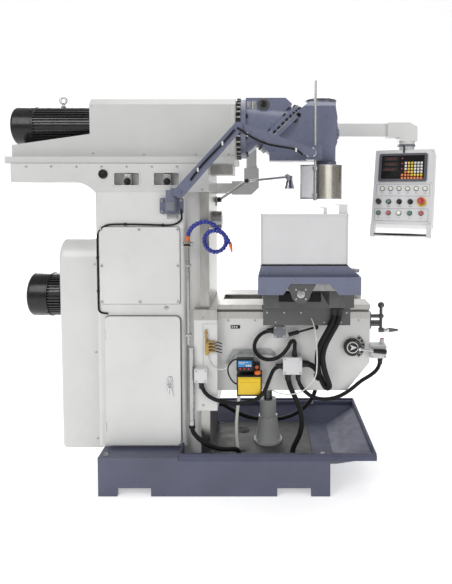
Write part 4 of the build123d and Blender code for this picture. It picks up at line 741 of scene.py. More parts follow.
side_barrel = together(ribbed_barrel(-868, -800, 98, 110, 44, 900),
    lathe([(104, 0), (112, 3), (112, 14), (104, 18.6)], (-800, 0, 900), FORWARD, 64))
motor = to_piece("spindle_motor_barrel", side_barrel, black_fins, "frame")
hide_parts("spindle_motor")
to_piece("spindle_motor_cowl", together(fan_cowl(-971, 106, 113, 900), motor_screws(-872, 114, 900)),
    black_enamel, "frame")

# %% [markdown]
# ## Hoses and conduits
# The coolant hose is a string of plastic ball joints that stays where it is put, and the conduits are
# ribbed tubes. Both are a circle carried along the route, and only the way the circle's radius changes
# along the length differs: bead after bead for the one, and shallow ribs for the other. Each conduit
# ends in a gland nut.

# %% Routes
hose_route = [
    (-128, -252, 1200), (-128, -252, 1226), (-118, -256, 1258), (-88, -260, 1284), (-48, -262, 1297),
    (-8, -262, 1287), (18, -262, 1262), (50, -260, 1230), (57, -256, 1192), (38, -252, 1160),
    (2, -249, 1146), (-34, -249, 1162), (-52, -252, 1198), (-42, -262, 1234), (-10, -272, 1256),
    (28, -276, 1250), (58, -276, 1226), (72, -276, 1192), (78, -276, 1160),
]
drain_route = [
    (-114, -258, 308), (-114, -258, 282), (-100, -262, 258), (-72, -267, 234), (-40, -266, 212),
    (-8, -252, 190), (26, -230, 172), (62, -204, 158), (94, -174, 146), (108, -156, 128),
    (108, -156, 106.2),
]
lock_conduit = [
    (284, -218, 760), (256, -218, 760), (218, -228, 746), (192, -232, 712), (186, -234, 676),
    (204, -236, 644), (240, -238, 622), (284, -240, 624), (324, -240, 646), (352, -238, 682),
    (368, -236, 716), (386, -234, 712), (384, -228, 676), (384, -228, 636),
]
limit_conduit = [
    (806, -204, 625), (806, -204, 596), (792, -208, 562), (756, -212, 534), (712, -214, 510),
    (668, -218, 472), (620, -220, 440), (568, -222, 422), (514, -224, 420), (464, -226, 436),
    (424, -226, 470), (402, -226, 512), (402, -226, 552),
]
cheek_conduit = [
    (-66, -266, 525), (-66, -266, 500), (-48, -266, 466), (-18, -268, 442), (26, -270, 428),
    (76, -276, 421), (124, -288, 424), (170, -300, 436), (208, -310, 458), (242, -302, 492),
    (262, -264, 540), (290, -230, 588), (327, -230, 588),
]
sump_conduit = [
    (352, -226, 552), (352, -226, 520), (368, -226, 470), (394, -224, 418), (416, -218, 360),
    (424, -210, 300), (416, -202, 244), (398, -194, 196), (378, -188, 156), (378, -188, 112.2),
]
column_conduit = [
    (505, -60, 457), (505, -60, 416), (490, -50, 362), (452, -36, 308), (400, -10, 258), (342, 30, 218),
    (280, 66, 196), (216, 84, 190), (152, 84, 200), (92, 76, 228), (44, 62, 262), (10, 56, 288),
    (-30, 56, 288),
]
box_conduit = [
    (590, -316, 895.5), (590, -316, 862), (580, -318, 824), (552, -316, 772), (524, -306, 716),
    (512, -294, 656), (520, -282, 600), (534, -276, 552), (548, -270, 516), (552, -262, 492),
    (534, -254, 488), (520, -250, 512), (506, -246, 548), (486, -238, 580), (456, -230, 600),
    (420, -230, 600),
]
knee_conduit = [
    (566, -316, 895.5), (566, -316, 862), (556, -318, 824), (528, -316, 772), (500, -306, 716),
    (488, -294, 656), (492, -280, 600), (500, -262, 556), (500, -232, 530), (500, -200, 530),
]


# %% Ribbed conduits and glands
def ribbed_tube(route, radius, pitch=5.0):
    """A corrugated tube: the radius rises and falls by a cosine of the length, once every pitch."""
    path = smooth_path(route, pitch / 4)
    run = np.arange(len(path)) * pitch / 4
    return tube(path, radius - 0.55 + 0.55 * np.cos(2 * math.pi * run / pitch), 12)


def gland(place, towards, radius):
    """A cable gland: a hexagon nut, a neck and a soft sleeve that tapers on to the conduit."""
    r = radius
    sleeve = [(r + 3, 0), (r + 3, 5), (r + 2.2, 7), (r + 1.8, 18), (r + 0.9, 26), (r + 0.2, 28)]
    return together(nut(place, towards, r + 4, 8),
        lathe(sleeve, np.array(place) + 7 * unit(towards), towards, 20))


def unit(direction):
    """The same direction with length one."""
    direction = np.asarray(direction, float)
    return direction / np.linalg.norm(direction)


conduit_plan = [
    ("lock_conduit", lock_conduit, 10, "knee", "knee_conduits", None),
    ("limit_conduit", limit_conduit, 10, "knee", "knee_conduits", None),
    ("cheek_conduit", cheek_conduit, 10, "knee", "knee_conduits", None),
    ("sump_conduit", sump_conduit, 13, None, "tray_conduits",
        ("frame", "knee", sump_conduit[-1], sump_conduit[0])),
    ("column_conduit", column_conduit, 11, None, "tray_conduits",
        ("frame", "knee", column_conduit[-1], column_conduit[0])),
    ("box_conduit", box_conduit, 14, None, "saddle_conduits",
        ("knee", "saddle", box_conduit[-1], box_conduit[0])),
    ("knee_conduit", knee_conduit, 14, None, "saddle_conduits",
        ("knee", "saddle", knee_conduit[-1], knee_conduit[0])),
]
for name, route, radius, body, node, bend in conduit_plan:
    tube_shape = ribbed_tube(route, radius)
    piece = to_piece(name, tube_shape, black_rubber, body, 60)
    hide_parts(node)
    ends = ((route[0], np.subtract(route[1], route[0]), 0),
        (route[-1], np.subtract(route[-2], route[-1]), 1))
    for place, towards, last in ends:
        if (name, last) == ("column_conduit", 1):
            continue  # this end passes through a hole close behind the knee, with no room for a gland
        holder = body or bend[1 - last]
        to_piece(f"{name}_gland_{last + 1}", gland(place, unit(towards), radius), black_plastic, holder)
    if bend:
        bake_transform(piece)

# %% Coolant hose and drain hose
def beaded_tube(route, bead, neck, pitch):
    """A ball-jointed hose: each joint is a sphere that sits in the next one's cup, so the radius
    follows half circles."""
    path = smooth_path(route, pitch / 8)
    share = (np.arange(len(path)) % 8) / 8
    radius = neck + (bead - neck) * np.sqrt(np.clip(1 - (2 * share - 1) ** 2, 0, 1))
    return tube(path, radius, 16)


hose_parts = beaded_tube(hose_route[1:-1], 11.0, 6.5, 17.0)
hose_piece = to_piece("coolant_hose", hose_parts, blue_plastic, "frame", 50)
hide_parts("coolant_hoses")
tip = np.array(hose_route[-1])
nozzle = together(lathe([(8, 0), (8.4, 6), (7.5, 14), (4.2, 38), (3.4, 44), (2.2, 44), (2.2, 38)],
        tip + (-2, 0, 34), (0.17, 0, -1), 24),
    lathe([(9, 0), (9.5, 4), (9.5, 20), (8, 28), (6, 30)], (-128, -252, 1198), UP, 24))
to_piece("coolant_nozzles", nozzle, orange_plastic, "frame")
drain = together(ribbed_tube(drain_route, 11.5, 6.0),
    lathe([(15, 0), (15.5, 3), (15.5, 18), (12.5, 20)], (-114, -258, 290), UP, 28))
to_piece("drain_hose", drain, black_rubber, "frame", 60)

# %% Coolant valve and drip pipe
valve = together(nut((-128, -252, 1176), UP, 13, 22), ring((-128, -252, 1199), UP, 9.5, 2.5),
    lathe([(4, 0), (4, 12), (9, 13), (9, 18), (4, 19)], (-128, -268, 1187), LEFT, 20))
to_piece("coolant_valve", valve, brass, "frame")
handle = slab((-144, -112), (-291, -286), (1182, 1192), 4, 1)
to_piece("coolant_valve_handle", handle, black_plastic, "frame")
clips = together(*[slab((-142, -114), (-262, -240), (z, z + 12), 3, 1) for z in (742, 1080)])
to_piece("pipe_clips", clips, bright_steel, "frame")

# %% [markdown]
# ## The control panel
# The face is a bright plate with a dark display, six lamps, two rows of controls and printed lines. The
# lines and symbols are drawn as thin raised pieces with no words. Everything is laid out flat, as on a
# drawing, and then turned by one matrix that stands for the way the box hangs on its arm.

# %% Panel frame
turn, tilt = math.radians(-23), math.radians(-15)
about_z = np.array([[math.cos(turn), -math.sin(turn), 0], [math.sin(turn), math.cos(turn), 0], [0, 0, 1]])
about_x = np.array([[1, 0, 0], [0, math.cos(tilt), -math.sin(tilt)], [0, math.sin(tilt), math.cos(tilt)]])
PANEL_TURN, PANEL_PLACE = about_z @ about_x, (1058, 340, 1660)
PANEL_WIDTH, PANEL_HEIGHT, PANEL_FACE = 328, 436, -55


def on_panel(name, shape, material):
    """Turns a shape laid out on the flat face into place on the hanging box."""
    return to_piece(name, shape.moved(PANEL_TURN, PANEL_PLACE), material, "panel")


def spot(share_x, share_z, proud=0.0):
    """A place on the panel's face from its shares of the width and height, standing proud of it."""
    return ((share_x - 0.5) * PANEL_WIDTH, PANEL_FACE - proud, -share_z * PANEL_HEIGHT)


def tile(x0, x1, z0, z1, back, front, corner=2.0):
    """A thin plate on the face, between shares of the width and the height, from one depth to another."""
    left, top, right, bottom = spot(x0, z0)[0], spot(x0, z0)[2], spot(x1, z1)[0], spot(x1, z1)[2]
    return slab((left, right), (PANEL_FACE - front, PANEL_FACE - back), (bottom, top), corner,
        min(0.5, (front - back) / 2))


# %% Display
bezel_paint = moulded("display_bezel", (0.075, 0.078, 0.092), 0.40, 0.2, 600.0)
display_glass = moulded("display_glass", (0.006, 0.006, 0.007), 0.38, 0.02, 200.0, specular=0.12)
display_red = moulded("display_red_digits", (0.30, 0.01, 0.02), 0.3)
on_panel("display_bezel", tile(0.075, 0.895, 0.055, 0.435, 6.1, 9.5, 12), bezel_paint)
on_panel("display_screen", tile(0.125, 0.845, 0.085, 0.40, 9.4, 10.6, 3), display_glass)
windows = together(*[tile(0.150, 0.42, z, z + 0.05, 10.5, 11.0, 1) for z in (0.105, 0.175, 0.245)])
on_panel("display_windows", windows, black_plastic)

SEGMENTS = {"a": (0, 1, 1, 1), "b": (1, 1, 1, 0.5), "c": (1, 0.5, 1, 0), "d": (0, 0, 1, 0),
    "e": (0, 0.5, 0, 0), "f": (0, 1, 0, 0.5)}


def zero_digit(left, top, width, height, proud):
    """A seven-segment zero: six thin bars round a rectangle, each between two of its corners or middles."""
    parts = []
    for x0, z0, x1, z1 in SEGMENTS.values():
        a, b = left + x0 * width, left + x1 * width
        low, high = top - height + min(z0, z1) * height, top - height + max(z0, z1) * height
        parts.append(slab((a - 0.5, b + 0.5), (PANEL_FACE - proud - 0.4, PANEL_FACE - proud),
                (low + 0.3, max(high, low + 1.3)), 0.3, 0.1))
    return together(*parts)


digits = []
for row in range(3):
    for k in range(5):
        digits.append(zero_digit(spot(0.19 + k * 0.042, 0)[0], -PANEL_HEIGHT * (0.118 + 0.07 * row), 6,
                10, 11.0))
digits += [slab((spot(share, 0)[0], spot(share, 0)[0] + 8), (PANEL_FACE - 11.4, PANEL_FACE - 10.6),
        (-124, -121), 0.5, 0.1) for share in (0.15, 0.19, 0.23)]
digits += [lathe([(5, 0), (5, 0.6), (3, 0.8)], spot(0.475, z, 10.6), LEFT, 20)
    for z in (0.125, 0.195, 0.265)]
on_panel("display_digits", together(*digits), display_red)

key_columns = np.linspace(0.468, 0.785, 7)
key_rows = np.linspace(0.175, 0.375, 6)
key_groups = {"white": [], "yellow": [], "orange": []}
for i, z in enumerate(key_rows):
    for j, x in enumerate(key_columns):
        if j == 0 and i < 4:
            continue
        colour = "white"
        if i == 5 or (i >= 3 and j <= 2 - (i == 3)):
            colour = "orange"
        elif i == 4 or j in (2, 3):
            colour = "yellow"
        key_groups[colour].append(tile(x, x + 0.036, z, z + 0.028, 10.5, 12.2, 1.5))
key_finish = {"white": white_plastic, "yellow": yellow_plastic, "orange": orange_plastic}
for colour, keys in key_groups.items():
    on_panel(f"display_keys_{colour}", together(*keys), key_finish[colour])

# %% Lamps, legends and collars
collars, lamps, marks = [], [], []
for x in np.linspace(0.155, 0.875, 6):
    collars.append(lathe([(14, 0), (14, 2.5), (12.5, 3.5), (11, 3.5), (11, 1)], spot(x, 0.527), LEFT, 28))
    lamps.append(lathe([(10.6, 0), (10.6, 4), (9.5, 6), (5, 7.2), (1, 7.6)], spot(x, 0.527, 0.5), LEFT, 28))
    marks.append(tile(x - 0.022, x + 0.022, 0.583, 0.588, 0, 0.5, 0.3))
for x in (0.278, 0.642, 0.457, 0.106):
    collars.append(lathe([(16, 0), (16, 1.6), (14.5, 2.2), (13.4, 2.2), (13.4, 0.5)], spot(x, 0.70), LEFT,
            28))
for x in (0.114, 0.286, 0.461, 0.641, 0.827):
    collars.append(lathe([(14.5, 0), (14.5, 3), (13.2, 4), (11.6, 4), (11.6, 0.5)], spot(x, 0.85), LEFT,
            28))
    marks.append(tile(x - 0.012, x + 0.012, 0.912, 0.917, 0, 0.5, 0.3))
for x in (0.278, 0.457, 0.642):
    marks.append(tile(x - 0.03, x + 0.03, 0.757, 0.762, 0, 0.5, 0.3))
dial_x, _, dial_z = spot(0.106, 0.70)
for k in range(11):
    a = math.radians(-40 + 26 * k)
    tick = slab((-0.6, 0.6), (PANEL_FACE - 0.5, PANEL_FACE), (17.5, 23.5), 0.3, 0.1)
    turned = np.array([[math.cos(a), 0, -math.sin(a)], [0, 1, 0], [math.sin(a), 0, math.cos(a)]])
    marks.append(tick.moved(turned, (dial_x, 0, dial_z)))


def outline_box(x0, x1, z0, z1):
    """A printed border between shares of the width and the height."""
    a, b = spot(x0, z0), spot(x1, z1)
    return frame_outline(b[0] - a[0], a[2] - b[2], 1.2, 0.5, 3,
        ((a[0] + b[0]) / 2, PANEL_FACE, (a[2] + b[2]) / 2), LEFT)


marks += [outline_box(0.05, 0.95, 0.465, 0.625), outline_box(0.045, 0.945, 0.79, 0.955)]
on_panel("panel_collars", together(*collars), black_steel)
on_panel("panel_lamps", together(*lamps), ivory_plastic)
on_panel("panel_markings", together(*marks), black_plastic)
yellow_disc = lathe([(27, 0), (27, 1.5), (25.5, 2.2), (21, 2.4), (14, 2.4), (14, 0.5)], spot(0.826, 0.70),
    LEFT, 40)
on_panel("emergency_disc", yellow_disc, yellow_plastic)
stop_cap = lathe([(15, 0), (20.3, 1), (21, 6), (19.5, 11), (13, 14.5), (4, 15.6), (1, 15.7)],
    spot(0.826, 0.70, 15.5), LEFT, 40)
to_piece("emergency_stop_cap", stop_cap.moved(PANEL_TURN, PANEL_PLACE), red_plastic, "emergency_stop")
face_screws = [screw(spot(x, z, -0.2), LEFT, 3.2) for x in (0.035, 0.965) for z in (0.03, 0.452, 0.972)]
on_panel("panel_screws", together(*face_screws), bright_steel)
grip = tube([(-152, -62, -495), (-60, -63, -495), (60, -63, -495), (152, -62, -495)], 8, 18)
on_panel("panel_grip", grip, black_rubber)

# %% Swivel joints of the pendant
elbow_bits = together(lathe([(50, 0), (51.5, 3), (51.5, 9), (50, 12)], (1058, 340, 1694), UP, 44),
    lathe([(48.5, 0), (50, 2), (50, 6), (48.5, 8)], (1058, 340, 1668), UP, 44))
to_piece("panel_swivel_rings", elbow_bits, grey_box_paint, "panel")
lead = smooth_path([(1032, 300, 1700), (1032, 288, 1690), (1032, 284, 1676), (1032, 288, 1662),
        (1032, 294, 1652)], 3)
to_piece("panel_lead", together(tube(lead, 4.5, 12), nut((1030, 300, 1640), LEFT, 8, 8)), black_rubber,
    "panel")

# %% [markdown]
# ## The column and its covers
# The big white faces come alive through small hardware: eight screws on the electrical cover, a key
# lock with its keys on the door, blank plates, and the black lead that runs down the side. A folded
# steel cover also has a soft gasket line behind it, which reads as a dark outline.

# %% Cover screws, gaskets and door lock
SIDE, COVER_FRONT = -230, -238.1
cover_x, cover_z = (-555, -171), (897, 1266)
screws = []
for x in (cover_x[0] + 10, sum(cover_x) / 2, cover_x[1] - 8):
    for z in (cover_z[0] + 10, sum(cover_z) / 2, cover_z[1] - 10):
        if (x, z) != (sum(cover_x) / 2, sum(cover_z) / 2):
            screws.append(screw((x, COVER_FRONT, z), LEFT, 5.5))
to_piece("electrical_cover_screws", together(*screws), bright_steel, "frame")
gasket = together(frame_outline(371, 641, 4, 1.2, 24, (-351.5, SIDE - 0.2, 518), LEFT),
    frame_outline(390, 376, 3, 1.2, 14, (-363, SIDE - 0.2, 1081.5), LEFT))
to_piece("panel_gaskets", gasket, black_rubber, "frame")
door_front = -250.4
lock = together(lathe([(13, 0), (13, 3), (11, 5), (9.5, 5), (9.5, 3.5), (0.01, 3.5)],
        (-220, door_front, 531), LEFT, 32),
    slab((-221.5, -218.5), (-256, -253), (525, 537), 0.5, 0.3))
to_piece("door_lock", lock, chrome, "door")


def key(ring_place, tilt_deg, length):
    """A flat key: a round bow with a hole and a blade, hanging at an angle."""
    bow = together(ring((0, 0, 0), (0, 1, 0), 8, 2.4, 24, 8),
        slab((-3, 3), (-1.2, 1.2), (-length, -9), 0.8, 0.3))
    a = math.radians(tilt_deg)
    turned = np.array([[math.cos(a), 0, -math.sin(a)], [0, 1, 0], [math.sin(a), 0, math.cos(a)]])
    return bow.moved(turned, ring_place)


keys = together(ring((-222, -259, 519), (0, 1, 0), 11, 1.1, 30, 8), key((-220, -260.5, 498), 14, 50),
    key((-225, -256.5, 500), -6, 38),
    slab((-222, -218), (-262, -254), (526, 537), 1.5, 0.5))
to_piece("door_keys", keys, chrome, "door")
hidden_plates = together(slab((-230, -175), (SIDE - 1.2, SIDE - 0.1), (1305, 1345), 3, 0.4),
    slab((-250, -226), (SIDE - 1.2, SIDE - 0.1), (866, 884), 9, 0.4))
to_piece("column_blank_plates", hidden_plates, bright_steel, "frame")

# %% The lead down the column
lead_route = [
    (-158, -262, 1352), (-156, -246, 1320), (-160, -238, 1302), (-176, -236, 1288), (-205, -235, 1276),
    (-262, -235, 1277), (-344, -235, 1280), (-420, -235, 1281), (-488, -235, 1281), (-520, -235, 1277),
    (-545, -235, 1262), (-564, -235, 1236), (-565, -235, 1180), (-565, -235, 1000), (-565, -235, 880),
    (-563, -235, 860), (-548, -234, 850), (-520, -233, 848),
]
clamps = [slab((x - 5, x + 5), (-242, SIDE - 0.1), (z - 7, z + 7), 2, 0.8)
    for x, z in ((-250, 1277), (-430, 1281), (-565, 1120), (-565, 960))]
to_piece("column_lead", tube(smooth_path(lead_route, 5), 4.6, 12), black_rubber, "frame")
to_piece("column_lead_clips", together(*clamps), black_plastic, "frame")

# %% [markdown]
# ## Ram housing
# Each window in the housing holds a bright clamp block with a black locking bolt, and a turned plug
# closes the oil filler. The window's rim is a rounded picture frame, which hides the sharp milled
# corner behind it.

# %% Clamp windows and filler plug
rims, blocks, bolts = [], [], []
for side in (-1, 1):
    for x0 in (-485, -295):
        middle = x0 + 64
        rims.append(frame_outline(132, 71, 6, 1.6, 14, (middle, side * 230.05, 1497.5), (0, side, 0)))
        blocks.append(slab((middle - 19, middle + 19), tuple(sorted((side * 188, side * 215))),
                (1464.5, 1524), 3, 1.5, (0, side, 0)))
        bolts.append(nut((middle, side * 214.5, 1486), (0, side, 0), 13, 10))
        bolts.append(lathe([(6, 0), (6, 5), (4, 6)], (middle, side * 224, 1486), (0, side, 0), 20))
        bolts.append(lathe([(17, 0), (17, 2), (15, 2.6)], (middle, side * 214.2, 1486), (0, side, 0), 28))
        blocks.append(screw((middle, side * 214.8, 1512), (0, side, 0), 4.5))
to_piece("clamp_window_rims", together(*rims), white_paint, "frame")
to_piece("ram_clamp_blocks", together(*blocks), bright_steel, "frame")
to_piece("ram_clamp_bolts", together(*bolts), black_plastic, "frame")
plug = lathe([(22, 0), (22, 4), (20, 6), (16, 6), (15, 3.5), (9, 3.5), (8.5, 5), (3, 5.5)],
    (-533, SIDE - 0.05, 1521), LEFT, 36)
to_piece("housing_filler_plug", plug, black_enamel, "frame")
gib = [screw((x, SIDE - 0.1, 1556), LEFT, 4.5)
    for x in range(-900, -60, 120)] + [screw((x, SIDE - 0.1, 1447), LEFT, 4) for x in (-150, -60)]
to_piece("ram_gib_screws", together(*gib), bright_steel, "frame")

# %% Ram cover trim
front_band = together(*[slab((70, 93), tuple(sorted((side * 165.2, side * 167))), (1612, 1856), 2, 0.6,
        (0, side, 0)) for side in (-1, 1)])
to_piece("ram_cover_bands", front_band, ram_cover_paint, "ram")
cover_screws = [screw((x, side * 165.1, z), (0, side, 0), 4) for side in (-1, 1)
    for x, z in ((-600, 1625), (-350, 1618), (-100, 1618), (60, 1618), (-600, 1850))]
to_piece("ram_cover_screws", together(*cover_screws), bright_steel, "ram")
toothed = lathe([(146, 0), (153, 1.5), (153, 20), (146, 21.4)], (97, 0, 1757), FORWARD, 240,
    lambda a: 1 + 0.022 * np.clip(3 * np.cos(30 * a), -1, 1))
to_piece("ram_nose_ring", toothed, black_enamel, "ram")

# %% [markdown]
# ## Swivel head
# The two halves meet on a slanted ring with a dark scale between them and square-headed bolts behind
# it. Everything on that ring is laid out round its own axis by the same turned-profile function as
# before.

# %% Swivel rings, bolts and sight glass
SWIVEL = np.array([320.0, 0, 1757])
SLANT = unit((1, 0, -1))
notched = lathe([(140, 0), (151.5, 0.5), (151.5, 9), (140, 9.5)], SWIVEL - 10 * SLANT, SLANT, 264,
    lambda a: 1 + 0.016 * np.clip(4 * np.cos(33 * a), -1, 1))
to_piece("swivel_scale_ring", notched, black_enamel, "knuckle")
bright_band = lathe([(150, 0), (151.2, 0.6), (151.2, 5.4), (150, 6)], SWIVEL + 1.5 * SLANT, SLANT, 120)
to_piece("head_scale_band", bright_band, bright_steel, "head")
flange_bolts = []
for k in range(8):
    a = math.radians(22.5 + 45 * k)
    flange_bolts.append(nut((145, 139 * math.cos(a), 1757 + 139 * math.sin(a)), FORWARD, 9, 9))
slant_side = np.array([0.0, 1, 0])
slant_up = np.cross(SLANT, slant_side)
for k in range(8):
    a = math.radians(22.5 + 45 * k)
    place = SWIVEL - 26 * SLANT + 137 * (math.cos(a) * slant_side + math.sin(a) * slant_up)
    flange_bolts.append(nut(place, -SLANT, 8.5, 9))
to_piece("knuckle_bolts", together(*flange_bolts), black_enamel, "knuckle")
NEAR = -100
filler = lathe([(30, 0), (30, 4), (27, 6.5), (20, 7), (19, 5), (15, 5)], (232, NEAR, 1870), LEFT, 40)
to_piece("knuckle_filler_ring", filler, dark_paint, "knuckle")
filler_cap = lathe([(15, 0), (15, 6), (12, 8), (6, 8.5)], (232, NEAR - 4.6, 1870), LEFT, 24, hexagon)
to_piece("knuckle_filler_cap", filler_cap, black_enamel, "knuckle")
stickers = together(slab((152, 170), (NEAR - 0.8, NEAR), (1850, 1884), 1, 0.3),
    slab((176, 197), (NEAR - 0.8, NEAR), (1842, 1886), 1, 0.3))
to_piece("knuckle_scale_plates", stickers, bright_steel, "knuckle")
head_plugs = together(lathe([(14, 0), (14, 4), (11, 7), (7, 8)], (388, -112, 1792), LEFT, 28, hexagon),
    lathe([(7, 0), (7, 3), (4, 4.5)], (425, -112, 1640), LEFT, 20))
to_piece("head_plugs", head_plugs, black_enamel, "head")
sight = lathe([(11, 0), (11, 3), (9.5, 4.2), (8.5, 3), (0.01, 3)], (407, -112, 1816), LEFT, 28)
to_piece("head_sight_glass", sight, display_glass, "head")
cap = lathe([(79, 0), (80.5, 1), (80.5, 7), (76, 9), (60, 9.5), (58, 12), (20, 12.5), (18, 15), (2, 15)],
    (527, 0, 1896), UP, 64)
to_piece("head_top_cap", cap, dark_paint, "head")
top_screws = [screw((527 + 69 * math.cos(a), 69 * math.sin(a), 1904.8), UP, 4)
    for a in np.linspace(0, 2 * math.pi, 7)[:-1]]
front_screws = [screw((607, 56 * math.cos(a), 1737 + 56 * math.sin(a)), FORWARD, 5)
    for a in np.linspace(0, 2 * math.pi, 7)[:-1]]
to_piece("head_screws", together(*top_screws, *front_screws), bright_steel, "head")
clamp = lathe([(22, 0), (22, 7), (19.5, 10), (12, 10.6), (11, 8), (7, 8), (6.5, 11), (1, 11.4)],
        (468, -189.1, 1627), LEFT, 40)
to_piece("guard_clamp_knob", clamp, chrome, "head")
front_nut = nut((607, 0, 1737), FORWARD, 26, 14)
to_piece("head_front_nut", front_nut, blue_grey_paint, "head")

# %% [markdown]
# ## Spindle guard
# The guard is a curved screen on a sliding rod: a steel half that has gone mottled, a clear half turned
# milky with age, and bright bars at its edges. Each half is an arc of a tube with its own thickness,
# closed all round.

# %% Guard
GUARD_MIDDLE, GUARD_FOOT, GUARD_TOP = np.array([522.0, -5]), 1400, 1572


def arc_wall(start, end, inner, outer, z0, z1, steps=28):
    """A curved wall: a small rectangle of radius and height carried round an arc from start to end, in
    degrees."""
    angle = np.radians(np.linspace(start, end, steps))
    section = np.array([(inner, z0), (outer, z0), (outer, z1), (inner, z1)])
    x = GUARD_MIDDLE[0] + np.cos(angle)[:, None] * section[:, 0]
    y = GUARD_MIDDLE[1] + np.sin(angle)[:, None] * section[:, 0]
    z = np.repeat(section[:, 1][None, :], steps, 0)
    return ring_stack(np.stack([x, y, z], -1)[:, ::-1])


clear = Finish("milky_guard_sheet")
haze = clear.noise(9.0, 4.0)
clear_sheet = clear.set(colour=clear.blend(clear.ramp(haze, (0.3, 0.0), (0.7, 1.0)), (0.80, 0.80, 0.83),
        (0.70, 0.70, 0.74)),
    roughness=clear.ramp(haze, (0.3, 0.18), (0.75, 0.4)), alpha=0.82,
    normal=clear.bump(haze, 0.15, 0.0008))
stained_steel = ground_metal("stained_guard_steel", (0.42, 0.40, 0.35), "z", 0.22, 1.0)
screen = to_piece("guard_clear_sheet", arc_wall(210, 251, 110.5, 113.5, 1402, 1570), clear_sheet, "guard")
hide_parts("spindle_guard")
to_piece("guard_steel_sheet", arc_wall(252, 340, 110.5, 113.5, 1402, 1570), stained_steel, "guard")
rails = [arc_wall(208, 342, 108.5, 115, z, z + 7, 40) for z in (GUARD_FOOT, GUARD_TOP - 7)]
for angle in (209, 252, 341):
    a = math.radians(angle)
    x, y = GUARD_MIDDLE + 112 * np.array([math.cos(a), math.sin(a)])
    rails.append(lathe([(4, 0), (5, 1.5), (5, 174), (4, 176)], (x, y, GUARD_FOOT - 2), UP, 18))
for z in (1412, 1542):
    rails.append(together(lathe([(11, 0), (12, 1), (12, 17), (11, 18)], (485, -165, z), UP, 28),
            slab((477, 493), (-162, -110), (z + 1, z + 17), 3, 1)))
    rails.append(screw((474, -165, z + 9), (-1, 0, 0), 3.6))
to_piece("guard_frame", together(*rails), bright_steel, "guard")
hinge = lathe([(3.6, 0), (4.2, 1.5), (4.2, 168), (3.6, 170)], (505, -124.5, GUARD_FOOT + 1), UP, 18)
to_piece("guard_hinge_bar", hinge, black_steel, "guard")

# %% [markdown]
# ## Lubricator and oil lines
# The one-shot oiler is a small pump head over a yellow tank on a bent bracket. It stands on its own as
# a familiar object, so it is built from its real parts: bracket, head with a label, cap, and tank in
# its frame.

# %% Lubricator
KNEE_SIDE = -200
OILER = -296
bracket_edge = [(44, 596), (82, 664), (265, 666), (292, 645), (292, 622), (262, 640), (92, 638), (62, 584)]


def cut_sheet(outline, back, front):
    """A flat sheet of any outline in x and z, given thickness in y; both faces and the rim come from
    one loop."""
    flat = np.array(outline, float)
    loops = [np.column_stack([flat[:, 0], np.full(len(flat), y), flat[:, 1]]) for y in (back, front)]
    corners = len(flat)
    rim = [(i, (i + 1) % corners, (i + 1) % corners + corners, i + corners) for i in range(corners)]
    shape = Shape()
    shape.add(np.vstack(loops), np.array(rim), np.array([list(range(corners))[::-1]]),
        np.array([[i + corners for i in range(corners)]]))
    return shape


sheet = together(cut_sheet(bracket_edge, KNEE_SIDE - 5.2, KNEE_SIDE - 7.4),
    slab((104, 186), (-262, -205.2), (642, 645), 1, 0.4, UP),
    *[screw((x, KNEE_SIDE - 7.4, z), LEFT, 5)
        for x, z in ((62, 604), (120, 652), (240, 652), (279, 642))])
bracket_sheet = moulded("oiler_bracket_sheet", (0.36, 0.38, 0.37), 0.3, 0.1, 200)
bracket = to_piece("oiler_bracket", sheet, bracket_sheet, "knee")
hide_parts("lubricator")
pump = together(slab((104, 185), (OILER, -206), (584, 643), 5, 1.4, UP),
    slab((108, 181), (OILER - 3, OILER), (588, 640), 3, 0.8),
    slab((186, 216), (-258, -212), (566, 606), 4, 1.2, UP))
to_piece("oiler_pump", pump, black_plastic, "knee")
to_piece("oiler_label", slab((112, 177), (OILER - 4.6, OILER - 3.1), (606, 636), 1.5, 0.4), label_plastic,
    "knee")
bars = [slab((115, 115 + w), (OILER - 5.2, OILER - 4.7), (z, z + 2.4), 0.5, 0.1)
    for w, z in ((46, 628), (30, 621))]
bars += [slab((150 + 9 * k, 156 + 9 * k), (OILER - 5.2, OILER - 4.7), (609, 617), 0.5, 0.1)
    for k in range(3)]
to_piece("oiler_label_marks", together(*bars), white_plastic, "knee")
dials = together(*[lathe([(5, 0), (5, 2), (3.4, 3)], (x, OILER - 3.1, 597), LEFT, 24)
        for x in (122, 142, 162)])
to_piece("oiler_buttons", dials, red_plastic, "knee")
tank = together(slab((107, 223), (-294, -216), (470, 558), 9, 3, UP),
    slab((112, 218), (-296.5, -294), (478, 548), 5, 1.2),
    slab((118, 212), (-298.5, -296.5), (484, 530), 4, 1))
to_piece("oiler_tank", tank, yellow_plastic, "knee")
lid = together(slab((104, 226), (-297, -213), (556, 564), 6, 1.6, UP),
    slab((105, 109), (-296, -214), (468, 556), 1.5, 0.6, UP),
    slab((221, 225), (-296, -214), (468, 556), 1.5, 0.6, UP),
    slab((105, 225), (-297, -213), (464, 470), 5, 1.6, UP))
to_piece("oiler_tank_frame", lid, black_plastic, "knee")
knurled = lathe([(13, 0), (14.5, 1), (14.5, 13), (12.5, 16), (5, 17)], (204, -278, 564), UP, 96,
    lambda a: 1 + 0.04 * np.cos(24 * a))
to_piece("oiler_cap", knurled, orange_plastic, "knee")
gauge = lathe([(9, 0), (9, 5), (7.5, 6), (7, 4), (0.01, 4)], (200, -258, 592), LEFT, 28)
to_piece("oiler_gauge", gauge, orange_plastic, "knee")

